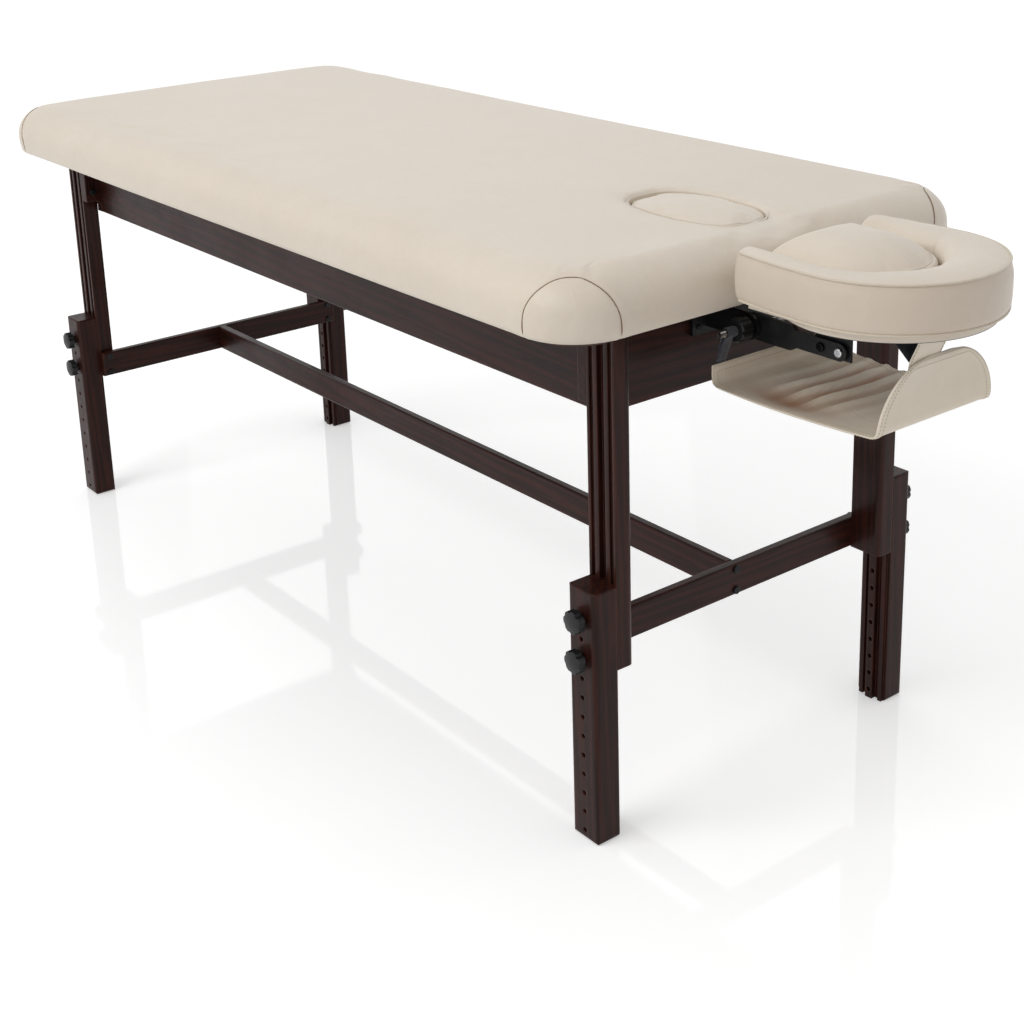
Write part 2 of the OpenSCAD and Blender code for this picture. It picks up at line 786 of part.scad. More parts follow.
// Two inserts in each upper leg, in the floor of its middle groove
module thread_inserts() {
  floor_y = leg_face_y - guide_deep;
  placed() color("Goldenrod") for (x = end_signs, y = end_signs) leg_place(x, y)
    for (z = [top_hole_z, low_knob_z]) difference() {
      rod_y([leg_x, floor_y - insert_l, z], insert_r, insert_l);
      rod_y([leg_x, floor_y - insert_l - cut_over, z], hole_d * half_share, insert_l + cut_over * 2);
    }
}

// Stretchers

// A stretcher's section, upright, its inner face on zero
module stretcher_section() {
  round_box_2d([-stretcher_t, upper_z], [0, stretcher_top], stretcher_r);
}

module end_stretcher() {
  difference() {
    translate([leg_in_x, leg_face_y, 0]) rotate([90, 0, 0]) linear_extrude(leg_face_y * 2) stretcher_section();
    for (y = [-leg_mid_y, 0, leg_mid_y], z = stretcher_bolts_z)
      rod_x([leg_in_x - stretcher_t - cut_over, y, z], bolt_r + run_gap, stretcher_t + cut_over * 2);
  }
}

module stretcher_head() {
  placed() color("SaddleBrown") end_stretcher();
}

module stretcher_foot() {
  placed() color("SaddleBrown") mirror([1, 0, 0]) end_stretcher();
}

module stretcher_long() {
  half_l = leg_in_x - stretcher_t;
  placed() color("SaddleBrown") difference() {
    translate([-half_l, stretcher_t * half_share, 0]) rotate([90, 0, 90])
      linear_extrude(half_l * 2) stretcher_section();
    for (s = end_signs) mirror([s < 0 ? 1 : 0, 0, 0]) for (z = stretcher_bolts_z)
      rod_x([half_l - bolt_grip, 0, z], bolt_r + run_gap, bolt_grip + cut_over);
  }
}

// Bolts through the end stretchers into the long one, heads outside
module stretcher_bolts() {
  placed() color("DarkSlateGray") for (s = end_signs) mirror([s < 0 ? 1 : 0, 0, 0])
    for (z = stretcher_bolts_z) translate([leg_in_x, 0, z]) mirror([1, 0, 0])
      bolt_x([0, 0, 0], bolt_head_r, bolt_head_t, bolt_r, stretcher_t + bolt_grip);
}

// Bolts from inside, through the end stretchers and end aprons into the upper legs
module leg_bolts() {
  placed() color("DarkSlateGray") for (x = end_signs, y = end_signs) leg_place(x, y) {
    for (z = stretcher_bolts_z) bolt_x([leg_in_x - stretcher_t, leg_mid_y, z],
      bolt_head_r, bolt_head_t, bolt_r, stretcher_t + bolt_grip);
    for (z = apron_bolts_z) bolt_x([leg_in_x - apron_t, leg_mid_y, z],
      bolt_head_r, bolt_head_t, bolt_r, apron_t + bolt_grip);
  }
}

// Headrest: what stays on the table

base_z = frame_top - base_down - base_h;
ear_out_y = ear_y + plate_t;
bracket_screws_y = [for (s = end_signs)
  s * (ear_out_y + (base_w * half_share - ear_out_y) * bracket_screw_share)];
bracket_screws_z = [for (share = screw_shares) base_z + base_h * share];

module headrest_bracket() {
  placed() color("DimGray") difference() {
    union() {
      box([leg_in_x, -base_w * half_share, base_z], [leg_in_x + base_t, base_w * half_share, base_z + base_h]);
      for (s = end_signs) mirror([0, s < 0 ? 1 : 0, 0]) {
        box([leg_in_x, ear_y, pivot_z - ear_h * half_share],
          [pivot_x, ear_out_y, pivot_z + ear_h * half_share]);
        rod_y([pivot_x, ear_y, pivot_z], ear_h * half_share, plate_t);
      }
    }
    rod_y([pivot_x, -base_w, pivot_z], rod_r + run_gap, base_w * 2);
    for (y = bracket_screws_y, z = bracket_screws_z)
      rod_x([leg_in_x - cut_over, y, z], screw_r + run_gap, base_t + cut_over * 2);
  }
}

module bracket_screws() {
  placed() color("DarkSlateGray") for (y = bracket_screws_y, z = bracket_screws_z)
    translate([leg_in_x + base_t, y, z]) mirror([1, 0, 0])
      bolt_x([0, 0, 0], screw_head_r, screw_head_t, screw_r, base_t + screw_l);
}

module pivot_rod() {
  placed() color("Silver") rod_y([pivot_x, -rod_l * half_share, pivot_z], rod_r, rod_l);
}

// A round clamp knob on the rod, against its ear
module clamp_knob() {
  knob_y = ear_out_y + ear_gap;
  waist_l = clamp_l * waist_share;
  translate([pivot_x, knob_y, pivot_z]) rotate([-90, 0, 0]) difference() {
    rotate_extrude() {
      translate([rod_r + run_gap, 0]) square([collar_r - rod_r + lug_t, clamp_l]);
      translate([rod_r + run_gap, waist_l]) square([clamp_r - rod_r - lug_t, clamp_l - waist_l]);
      translate([rod_r + run_gap, waist_l + lug_t]) square([clamp_r - rod_r, clamp_l - waist_l - lug_t * 2]);
      for (z = [waist_l + lug_t, clamp_l - lug_t]) translate([clamp_r - lug_t + run_gap, z]) circle(r = lug_t);
    }
    for (i = [0 : lobe_n - 1]) rotate([0, 0, i * 360 / lobe_n])
      translate([clamp_r + hollow_r * half_share, 0, waist_l - cut_over])
        cylinder(r = hollow_r, h = clamp_l);
  }
}

module clamp_knob_near() {
  placed() color("DimGray") mirror([0, 1, 0]) clamp_knob();
}

module clamp_knob_far() {
  placed() color("DimGray") clamp_knob();
}

// Headrest: what tilts

lug_bolts_x = [arm_bolt_x - lug_l * half_share, arm_bolt_x];
lug_screws_x = [for (share = screw_shares) lug_x + lug_l * share];
lug_screw_y = lug_y + lug_w * lug_screw_share;

// An arm plate: deep root round the pivot, slimmer towards its bolt
module arm() {
  difference() {
    translate([0, arm_in_y + plate_t, 0]) rotate([90, 0, 0]) linear_extrude(plate_t) {
      translate([pivot_x, pivot_z]) circle(r = arm_root_h * half_share);
      translate([pivot_x, pivot_z - arm_root_h * half_share])
        square([arm_root_l - arm_h * half_share, arm_root_h]);
      translate([pivot_x, pivot_z - arm_h * half_share]) square([arm_l, arm_h]);
      for (s = end_signs)
        translate([pivot_x + arm_root_l - arm_h * half_share, pivot_z + s * (arm_root_h - arm_h) * half_share])
          circle(r = arm_h * half_share);
      translate([arm_bolt_x, pivot_z]) circle(r = arm_h * half_share);
    }
    rod_y([pivot_x, arm_in_y - cut_over, pivot_z], rod_r + run_gap, plate_t + cut_over * 2);
    for (x = lug_bolts_x) rod_y([x, arm_in_y - cut_over, pivot_z], bolt_r + run_gap, plate_t + cut_over * 2);
  }
}

module arm_near() {
  placed() color("DimGray") mirror([0, 1, 0]) arm();
}

module arm_far() {
  placed() color("DimGray") arm();
}

// Button bolts from the outside of each arm through its lug
module arm_bolts() {
  placed() color("Silver") for (s = end_signs) mirror([0, s < 0 ? 1 : 0, 0])
    for (x = lug_bolts_x) translate([x, arm_y, pivot_z]) rotate([0, 0, -90])
      bolt_x([0, 0, 0], bolt_head_r, bolt_head_t, bolt_r, plate_t + lug_t);
}

// An angle lug: upright against the arm, flange under the cradle board
module lug() {
  difference() {
    union() {
      box([lug_x, lug_y, pivot_z - arm_h * half_share], [lug_x + lug_l, arm_in_y, board_z]);
      box([lug_x, lug_y, board_z - lug_t], [lug_x + lug_l, lug_y + lug_w, board_z]);
    }
    for (x = lug_bolts_x) rod_y([x, lug_y - cut_over, pivot_z], bolt_r + run_gap, lug_t + cut_over * 2);
    for (x = lug_screws_x) translate([x, lug_screw_y, board_z - lug_t - cut_over])
      cylinder(r = screw_r + run_gap, h = lug_t + cut_over * 2);
  }
}

module lug_near() {
  placed() color("DimGray") mirror([0, 1, 0]) lug();
}

module lug_far() {
  placed() color("DimGray") lug();
}

module lug_screws() {
  placed() color("Silver") for (s = end_signs) mirror([0, s < 0 ? 1 : 0, 0])
    for (x = lug_screws_x) translate([x, lug_screw_y, board_z - lug_t]) rotate([0, -90, 0])
      bolt_x([0, 0, 0], screw_head_r, screw_head_t, screw_r, lug_t + screw_l);
}

module cradle_board() {
  back_x = face_x - face_back + cradle_inset;
  out_r = face_r - cradle_inset;
  placed() color("BurlyWood") difference() {
    translate([0, 0, board_z]) linear_extrude(cradle_t) difference() {
      union() {
        translate([face_x, 0]) circle(r = out_r);
        translate([back_x, -out_r + face_taper]) square([face_x - back_x, out_r * 2 - face_taper * 2]);
      }
      translate([face_x - face_gap_back, 0]) circle(r = cradle_gap_r);
      translate([back_x - cut_over, -cradle_gap_r])
        square([face_x - face_gap_back - back_x + cut_over, cradle_gap_r * 2]);
      translate([back_x - face_r, -face_r]) square([face_r, face_r * 2]);
    }
    for (s = end_signs, x = lug_screws_x) translate([x, s * lug_screw_y, board_z - cut_over])
      cylinder(r = screw_r + run_gap, h = screw_l + cut_over);
  }
}

// Face cushion and its plug

// Half-widths of the face cushion's outside and opening at a distance behind its middle
function face_out_y(back) = face_r - face_taper * pow(back / face_back, 2);

// Stations round the horseshoe: an outer and an inner point each, from the near end to the far
stations_n = 8;
front_n = 12;
function face_stations() = concat(
  [for (i = [0 : stations_n - 1]) let (back = face_back * (1 - i / stations_n))
    [[face_x - back, -face_out_y(back)], [face_x - back, -face_gap_r]]],
  [for (i = [0 : front_n]) let (a = -90 + 180 * i / front_n, d = [cos(a), sin(a)])
    [[face_x, 0] + d * face_r, [face_x, 0] + d * face_inner_reach(a)]],
  [for (i = [stations_n - 1 : -1 : 0]) let (back = face_back * (1 - i / stations_n))
    [[face_x - back, face_out_y(back)], [face_x - back, face_gap_r]]]);

// Distance from the face cushion's middle to its opening's edge at an angle
function face_inner_reach(a) =
  let (b = face_gap_back * cos(a))
    sqrt(pow(face_gap_r, 2) - pow(face_gap_back, 2) + b * b) - b;

// Section of the band as shares across and up, clockwise from the inner lower seam
band_shares = [[0.06, 0], [0, 0.12], [-0.02, 0.5], [0, 0.84], [0.1, 0.99], [0.3, 1.07], [0.52, 1.09],
  [0.76, 1.07], [0.94, 1.01], [1, 0.93], [1.02, 0.5], [1, 0.07], [0.96, 0]];
// How much of the full section the end stations keep
end_shares = [0.86, 0.97, 1];

module face_cushion() {
  stations = face_stations();
  last = len(stations) - 1;
  rim_t = face_t * face_rim_share;
  rings = [for (i = [0 : last])
    let (keep = i < 2 ? end_shares[i] : i > last - 2 ? end_shares[last - i] : 1,
      out = stations[i][0], inner = stations[i][1], span = out - inner,
      wide = norm(span) - face_draw - slide_gap, dir = span / norm(span))
      [for (s = band_shares)
        let (reach = slide_gap + face_draw * half_share + wide * (half_share + (s[0] - half_share) * keep),
          q = inner + dir * reach)
          [q[0], q[1], board_top + rim_t * s[1] * (s[1] > half_share ? keep : 1)]]];
  placed() color("Wheat")
    polyhedron(points = [for (ring = rings) each ring],
      faces = concat(ring_walls(len(rings), len(band_shares), false), ring_ends(len(rings), len(band_shares))));
}

module face_plug() {
  plug_r = face_gap_r - slide_gap;
  back_x = face_x - face_back;
  mid_x = face_x - face_gap_back;
  high = face_t * face_plug_share;
  front = [for (i = [0 : front_n * 2])
    let (a = -90 + 90 * i / front_n) [mid_x + plug_r * cos(a), plug_r * sin(a)]];
  back = [for (i = [0 : short_edge_n - 1])
    let (y = plug_r * (1 - i * 2 / (short_edge_n - 1)))
      [back_x - face_plug_back * (1 - pow(y / plug_r, 2)), y]];
  outline = concat(
    edge_points([back_x, -plug_r], [mid_x, -plug_r], short_edge_n), front,
    edge_points([mid_x, plug_r], [back_x, plug_r], short_edge_n), back);
  centre = [face_x - face_back * face_plug_mid_share, 0];
  n = len(outline);
  sides = [for (s = pad_shares)
    [for (p = outline) let (v = p - centre, q = centre + v * (1 - face_draw * s[0] / norm(v)))
      [q[0], q[1], board_top + high * s[1]]]];
  domes = [for (s = dome_shares)
    [for (p = outline) let (q = centre + (p - centre) * s)
      [q[0], q[1], board_top + high + face_plug_rise * (1 - s * s)]]];
  rings = concat(sides, domes);
  peak = [centre[0], centre[1], board_top + high + face_plug_rise];
  peak_i = len(rings) * n;
  placed() color("Wheat")
    polyhedron(points = concat([for (ring = rings) each ring], [peak]),
      faces = concat(ring_walls(len(rings), n, false), [ring_ends(len(rings), n)[0]],
        [for (j = [0 : n - 1]) [peak_i - n + (j + 1) % n, peak_i - n + j, peak_i]]));
}

// Arm sling and its straps

across_n = 10;
shelf_n = 14;
flap_n = 6;

// Height of the shelf above its edges' height at a share along and a share across
function shelf_rise(along, across) =
  -sling_sag * (1 - pow(across, 2)) * sin(along * 180)
  + sling_fold * sin(along * 180) * sin(along * fold_turn + across * fold_slant);

// The sling's upper face: rear flap, shelf, front flap, each row from near to far
function sling_rows() = concat(
  [for (i = [2 : -1 : 1]) [for (j = [0 : across_n]) let (across = j * 2 / across_n - 1)
    [sling_x, sling_half(0) * across, shelf_z + sling_rear_h * i * half_share]]],
  [for (i = [0 : shelf_n]) [for (j = [0 : across_n])
    let (across = j * 2 / across_n - 1, along = i / shelf_n)
      [sling_x + sling_l * along, sling_half(along) * across, shelf_z + shelf_rise(along, across)]]],
  [for (i = [1 : flap_n]) [for (j = [0 : across_n])
    let (across = j * 2 / across_n - 1, up = sin(i * 90 / flap_n), wide = flap_half(i))
      [sling_end + sling_lean * up, wide * across, shelf_z + sling_front_h * up]]]);

// Half the width of the shelf at a share along
function sling_half(along) = sling_hw + (sling_front_hw - sling_hw) * along;

// Half the width of the front flap at a row
function flap_half(i) = flap_top_hw + (sling_front_hw - flap_top_hw) * cos(i * 90 / flap_n);

// The lower face of the sling is the upper one moved out by the leather's thickness
function sling_outer(rows) = [for (k = [0 : len(rows) - 1]) [for (j = [0 : across_n])
  let (p = rows[k][j], rear = k < 3, front = k > shelf_n + 1)
    p + [rear ? -sling_t : front ? sling_t : 0, 0, k > 1 && k < shelf_n + 3 ? -sling_t : 0]]];

module arm_sling() {
  upper = sling_rows();
  lower = sling_outer(upper);
  row_n = across_n + 1;
  last = len(upper) - 1;
  rings = [for (k = [0 : last]) concat(lower[k], [for (j = [across_n : -1 : 0]) upper[k][j]])];
  placed() color("Wheat")
    polyhedron(points = [for (ring = rings) each ring],
      faces = concat(ring_walls(len(rings), row_n * 2, false), strip_ends(len(rings), row_n)));
}

// The front strap: a lap on the flap's inner face, then a loop of two legs up to the cradle board
module front_strap() {
  flap_top = shelf_z + sling_front_h;
  low_z = flap_top - front_strap_lap;
  low_x = sling_end + sling_lean * (low_z - shelf_z) / sling_front_h - strap_t;
  in_x = sling_end + sling_lean - strap_t;
  legs = [[in_x, flap_top - strap_t * 2], [sling_end + front_strap_lean, board_z],
    [sling_end + front_strap_lean - front_strap_open, board_z]];
  middle = (legs[0] + legs[1] + legs[2]) / len(legs);
  placed() color("Wheat")
    translate([0, front_strap_w * half_share - front_strap_off, 0]) rotate([90, 0, 0])
      linear_extrude(front_strap_w) {
        polygon([[low_x, low_z], [low_x + strap_t, low_z],
          [in_x + strap_t, flap_top], [in_x, flap_top]]);
        difference() {
          polygon(legs);
          translate(middle) scale(loop_share) translate(-middle) polygon(legs);
        }
      }
}
// A rear strap: a loop on the rod and a tail down to the rear flap
module rear_strap() {
  out_x = sling_x - sling_t - strap_t;
  flap_top = shelf_z + sling_rear_h;
  loop_in = rod_r + ear_gap;
  loop_r = loop_in + strap_t;
  low_y = rod_l * half_share - rear_strap_inset - rear_strap_w * half_share;
  strap_section(low_y) {
    difference() {
      union() {
        translate([pivot_x, pivot_z]) circle(r = loop_r);
        polygon([[out_x, flap_top - cut_over], [out_x + strap_t, flap_top - cut_over],
          [pivot_x - loop_r + strap_t, pivot_z], [pivot_x - loop_r, pivot_z]]);
      }
      translate([pivot_x, pivot_z]) circle(r = loop_in);
    }
    translate([out_x, shelf_z]) square([strap_t, sling_rear_h - cut_over]);
  }
}

// Extrudes an upright section along +Y from a distance
module strap_section(y) {
  translate([0, y + rear_strap_w, 0]) rotate([90, 0, 0]) linear_extrude(rear_strap_w) children();
}

module rear_strap_near() {
  placed() color("DimGray") mirror([0, 1, 0]) rear_strap();
}

module rear_strap_far() {
  placed() color("DimGray") rear_strap();
}

table_cushion();
breath_plug();
deck_board();
apron_near();
apron_far();
apron_head();
apron_foot();
cross_rail_head();
cross_rail_foot();
corner_blocks();
upper_leg_head_near();
upper_leg_head_far();
upper_leg_foot_near();
upper_leg_foot_far();
lower_leg_head_near();
lower_leg_head_far();
lower_leg_foot_near();
lower_leg_foot_far();
knob_head_near_top();
knob_head_near_low();
knob_head_far_top();
knob_head_far_low();
knob_foot_near_top();
knob_foot_near_low();
knob_foot_far_top();
knob_foot_far_low();
stud_head_near_top();
stud_head_near_low();
stud_head_far_top();
stud_head_far_low();
stud_foot_near_top();
stud_foot_near_low();
stud_foot_far_top();
stud_foot_far_low();
thread_inserts();
stretcher_head();
stretcher_foot();
stretcher_long();
stretcher_bolts();
leg_bolts();
headrest_bracket();
bracket_screws();
pivot_rod();
clamp_knob_near();
clamp_knob_far();
arm_near();
arm_far();
arm_bolts();
lug_near();
lug_far();
lug_screws();
cradle_board();
face_cushion();
face_plug();
arm_sling();
front_strap();
rear_strap_near();
rear_strap_far();
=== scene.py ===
import math

import bpy
import numpy as np
from mathutils import Matrix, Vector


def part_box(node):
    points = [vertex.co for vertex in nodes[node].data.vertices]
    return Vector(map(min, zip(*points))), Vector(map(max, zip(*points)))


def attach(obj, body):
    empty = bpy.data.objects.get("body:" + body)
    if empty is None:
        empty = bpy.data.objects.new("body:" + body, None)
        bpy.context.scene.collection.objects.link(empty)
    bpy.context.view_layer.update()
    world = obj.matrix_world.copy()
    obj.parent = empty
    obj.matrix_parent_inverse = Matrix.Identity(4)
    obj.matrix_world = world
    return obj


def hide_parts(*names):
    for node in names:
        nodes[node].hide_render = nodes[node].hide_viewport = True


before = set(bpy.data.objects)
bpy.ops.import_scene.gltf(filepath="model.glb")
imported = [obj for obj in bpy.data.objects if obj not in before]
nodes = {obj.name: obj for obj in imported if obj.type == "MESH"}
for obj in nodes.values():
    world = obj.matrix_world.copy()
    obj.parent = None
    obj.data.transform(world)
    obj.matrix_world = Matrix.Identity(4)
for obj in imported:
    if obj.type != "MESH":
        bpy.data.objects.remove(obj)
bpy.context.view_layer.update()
print("frame loaded:", len(nodes), "nodes")


# Shared maths on paths and on grids of points


def lerp(a, b, t):
    return a + (b - a) * t


def smooth(t):
    t = np.clip(t, 0, 1)
    return t * t * (3 - 2 * t)


def gauss(x, wide):
    return np.exp(-(x / wide) ** 2)


def oval(x, y, power):
    # 1 on the rim of a squared oval that reaches 1 along both axes, and less inside it
    return (np.abs(x) ** power + np.abs(y) ** power) ** (1 / power)


def unit(v):
    return v / np.maximum(np.linalg.norm(v, axis=-1, keepdims=True), 1e-12)


def gridNormals(p, closed):
    # the normal is the cross product of the steps round a row and from row to row
    du = np.roll(p, -1, 1) - np.roll(p, 1, 1) if closed else np.gradient(p, axis=1)
    return unit(np.cross(du, np.gradient(p, axis=0)))


def resample(field, rowsTo, colsTo):
    # cubic through four neighbours, first round each closed row and then from row to row
    def along(f, count, wrap):
        n = f.shape[0]
        x = np.arange(count) * (n / count if wrap else (n - 1) / (count - 1))
        i = np.floor(x).astype(int)
        t = (x - i)[:, None, None]
        a, b, c, d = (f[(i + k) % n] if wrap else f[np.clip(i + k, 0, n - 1)] for k in (-1, 0, 1, 2))
        return b + 0.5 * t * (c - a + t * (2 * a - 5 * b + 4 * c - d + t * (3 * (b - c) + d - a)))

    wide = along(field.transpose(1, 0, 2), colsTo, True).transpose(1, 0, 2)
    return along(wide, rowsTo, False)


def smoothNoise(p, deep, scale, seed):
    # a sum of eight seeded sine waves in different directions, about -deep to deep
    rng = np.random.default_rng(seed)
    total = np.zeros(p.shape[:-1])
    for _ in range(8):
        d = rng.normal(size=3)
        turns = p @ (d / np.linalg.norm(d)) * 2 * np.pi / scale * rng.uniform(0.7, 1.5)
        total += np.sin(turns + rng.uniform(0, 6.28))
    return deep * total / 8 ** 0.5 / 1.2


def onGrid(grid, row, col, closed=True):
    # the grid's point at a fractional row and column
    rows, cols = grid.shape[:2]
    row = np.clip(row, 0, rows - 1.001)
    r0, c0 = np.floor(row).astype(int), np.floor(col).astype(int)
    fr, fc = (row - r0)[:, None], (col - c0)[:, None]
    c1 = (c0 + 1) % cols if closed else np.minimum(c0 + 1, cols - 1)
    c0 = c0 % cols if closed else np.clip(c0, 0, cols - 1)
    low = lerp(grid[r0, c0], grid[r0, c1], fc)
    high = lerp(grid[r0 + 1, c0], grid[r0 + 1, c1], fc)
    return lerp(low, high, fr)


def lengthAlong(path):
    # the distance from the path's start to each of its points
    return np.concatenate([[0], np.cumsum(np.linalg.norm(np.diff(path, axis=0), axis=1))])


def spaced(path, count, closed=False):
    # count points at equal distances along the path
    if closed:
        path = np.concatenate([path, path[:1]])
    far = lengthAlong(path)
    at = np.arange(count) * far[-1] / count if closed else np.linspace(0, far[-1], count)
    return np.stack([np.interp(at, far, column) for column in path.T], -1)


def evenly(path, step, closed=False):
    # points about one step apart along the path
    path = np.asarray(path, float)
    total = lengthAlong(np.concatenate([path, path[:1]]) if closed else path)[-1]
    return spaced(path, max(2, int(round(total / step)) + (0 if closed else 1)), closed)


def relaxed(line, rounds, closed=False, weight=1):
    # each point becomes the mean of its neighbours and itself, itself counted weight times;
    # an open line keeps its ends, and its array is changed in place
    for _ in range(rounds):
        if closed:
            line = (np.roll(line, 1, 0) + line * weight + np.roll(line, -1, 0)) / (2 + weight)
        else:
            line[1:-1] = (line[:-2] + line[1:-1] * weight + line[2:]) / (2 + weight)
    return line


def softLine(corners, step, rounds):
    # a line through the corners, its bends rounded
    return evenly(relaxed(evenly(corners, 0.001), rounds), step)


# Meshes


def meshFrom(name, verts, faces, materials):
    # faces is a list of arrays, each with faces of one number of corners
    mesh = bpy.data.meshes.new(name)
    loops = np.concatenate([f.ravel() for f in faces]).astype(np.int32)
    totals = np.concatenate([np.full(len(f), f.shape[1]) for f in faces]).astype(np.int32)
    starts = np.concatenate([[0], np.cumsum(totals)[:-1]]).astype(np.int32)
    mesh.vertices.add(len(verts))
    mesh.vertices.foreach_set("co", np.asarray(verts, np.float32).ravel())
    mesh.loops.add(len(loops))
    mesh.loops.foreach_set("vertex_index", loops)
    mesh.polygons.add(len(totals))
    mesh.polygons.foreach_set("loop_start", starts)
    mesh.polygons.foreach_set("loop_total", totals)
    mesh.polygons.foreach_set("use_smooth", np.ones(len(totals), bool))
    mesh.update(calc_edges=True)
    mesh.validate()
    obj = bpy.data.objects.new(name, mesh)
    bpy.context.scene.collection.objects.link(obj)
    for m in np.atleast_1d(materials):
        mesh.materials.append(m)
    return obj


def gridFaces(rows, cols, closed, looped=False):
    # closed joins the last column to the first, looped the last row to the first
    high, wide = rows if looped else rows - 1, cols if closed else cols - 1
    r, c = np.meshgrid(np.arange(high), np.arange(wide), indexing="ij")
    a, b = r * cols + c, r * cols + (c + 1) % cols
    up = (r + 1) % rows * cols - r * cols
    return np.stack([a, b, b + up, a + up], -1).reshape(-1, 4)


def fan(ring, centre, flip=False):
    nxt = np.roll(ring, -1)
    third = np.full(len(ring), centre)
    return np.stack([nxt, ring, third] if flip else [ring, nxt, third], -1)


def tube(name, path, radius, material, closed=False, sides=8):
    # rings that lie square to the path, each with its first side level
    n = len(path)
    t = unit(np.roll(path, -1, 0) - np.roll(path, 1, 0) if closed else np.gradient(path, axis=0))
    side = unit(np.cross(t, [0.0, 0.0, 1.0]))
    over = np.cross(side, t)
    a = np.arange(sides)[:, None] * 2 * np.pi / sides
    verts = (path[:, None] + radius * (side[:, None] * np.cos(a) + over[:, None] * np.sin(a))).reshape(-1, 3)
    faces = [gridFaces(n, sides, True, closed)[:, ::-1]]
    if not closed:
        verts = np.concatenate([verts, path[:1], path[-1:]])
        ring = np.arange(sides)
        faces += [fan(ring, n * sides), fan(ring + (n - 1) * sides, n * sides + 1, True)]
    return meshFrom(name, verts, faces, material)


stitchLook = {"pitch": 0.0048, "length": 0.0036, "radius": 0.00042, "high": 0.75, "sink": 1.9, "thin": 0.45,
              "rings": 5, "sides": 6}


def stitches(name, path, normals, closed=False):
    # each stitch is a short arched capsule along the path, its ends sunk into the leather
    look = stitchLook
    both = np.concatenate([path, normals], 1)
    if closed:
        both = np.concatenate([both, both[:1]])
    far = lengthAlong(both[:, :3])
    count = int(far[-1] / look["pitch"])
    mid = (np.arange(count) + 0.5) * far[-1] / count

    def at(s):
        x = np.clip(mid + s * look["length"], 0, far[-1])
        got = np.stack([np.interp(x, far, column) for column in both.T], -1)
        return got[:, :3], unit(got[:, 3:])

    rings, sides = look["rings"], look["sides"]
    a = np.arange(sides)[:, None] * 2 * np.pi / sides
    out = []
    for s in np.linspace(-0.5, 0.5, rings):
        (p, n), (ahead, _) = at(s), at(s + 0.02)
        side = unit(np.cross(unit(ahead - p + 1e-9), n))
        lift = look["radius"] * (look["high"] - look["sink"] * (2 * s) ** 4)
        thick = look["radius"] * (1 - look["thin"] * (2 * s) ** 4)
        out.append((p + n * lift)[:, None] + thick * (side[:, None] * np.cos(a) + n[:, None] * np.sin(a)))
    base = (np.arange(count) * rings * sides)[:, None]
    walls = (gridFaces(rings, sides, True)[:, ::-1][None] + base[:, None]).reshape(-1, 4)
    low, high = np.arange(sides) + base, np.arange(sides)[::-1] + (rings - 1) * sides + base
    return meshFrom(name, np.stack(out, 1).reshape(-1, 3), [walls, low, high], skins["thread"])


clothLook = {"stiff": 15, "quality": 4, "mass": 0.3}


def puffed(surface, pins, look, sunk=0.0, share=1.0):
    # every second row and column is blown up as cloth with its pins held, from a start sunk below the surface;
    # the whole surface then takes a share of how far each point has moved, capped
    points = surface[::2, ::2].copy()
    points[..., 2] -= sunk
    rows, cols = points.shape[:2]
    rest = meshFrom("puff", points.reshape(-1, 3), [gridFaces(rows, cols, True)], [])
    group = rest.vertex_groups.new(name="pins")
    for w in np.unique(pins[pins > 0]):
        group.add(np.nonzero(pins.ravel() == w)[0].tolist(), float(w), "REPLACE")
    cloth = rest.modifiers.new("Cloth", "CLOTH")
    cloth.collision_settings.use_collision = False
    settings = cloth.settings
    settings.use_pressure = True
    settings.uniform_pressure_force = look["pressure"]
    settings.effector_weights.gravity = 0
    settings.vertex_group_mass = "pins"
    settings.tension_stiffness = settings.compression_stiffness = clothLook["stiff"]
    settings.quality, settings.mass = clothLook["quality"], clothLook["mass"]
    scene = bpy.context.scene
    scene.frame_start, scene.frame_end = 1, look["frames"]
    for f in range(1, look["frames"] + 1):
        scene.frame_set(f)
    got = rest.evaluated_get(bpy.context.evaluated_depsgraph_get()).to_mesh()
    co = np.zeros(len(got.vertices) * 3, np.float32)
    got.vertices.foreach_get("co", co)
    moved = co.reshape(points.shape).astype(float) - points
    scene.frame_set(1)
    mesh = rest.data
    bpy.data.objects.remove(rest)
    bpy.data.meshes.remove(mesh)
    far = np.linalg.norm(moved, axis=-1, keepdims=True)
    moved *= look["cap"] * np.tanh(far / look["cap"]) / np.maximum(far, 1e-9)
    most = float(np.linalg.norm(moved, axis=-1).max()) * 1000
    print("  puffed", rows, "x", cols, "largest move", round(most, 1), "mm")
    moved[..., 2] -= sunk
    return surface + resample(moved * share, *surface.shape[:2])


# Materials


def lin(r, g, b):
    # an sRGB colour in 0 to 255 as linear light
    c = np.array([r, g, b]) / 255
    c = np.where(c <= 0.04045, c / 12.92, ((c + 0.055) / 1.055) ** 2.4)
    return (*c.tolist(), 1.0)


def wire(tree, node, inputs):
    # each input takes another node's output or a constant
    for key, value in inputs.items():
        if isinstance(value, bpy.types.NodeSocket):
            tree.links.new(value, node.inputs[key])
        else:
            node.inputs[key].default_value = value
    return node


def addNode(tree, kind, inputs=None, **settings):
    node = tree.nodes.new("ShaderNode" + kind)
    for key, value in settings.items():
        setattr(node, key, value)
    return wire(tree, node, inputs or {})


def mathNode(tree, operation, a, b=0.0, c=0.0):
    return addNode(tree, "Math", {0: a, 1: b, 2: c}, operation=operation).outputs[0]


def blendNode(tree, factor, a, b, mode="MIX"):
    return addNode(tree, "Mix", {0: factor, 6: a, 7: b}, data_type="RGBA", blend_type=mode).outputs[2]


def rangeNode(tree, value, low, high, toLow=0.0, toHigh=1.0):
    return addNode(tree, "MapRange", {0: value, 1: low, 2: high, 3: toLow, 4: toHigh}).outputs[0]


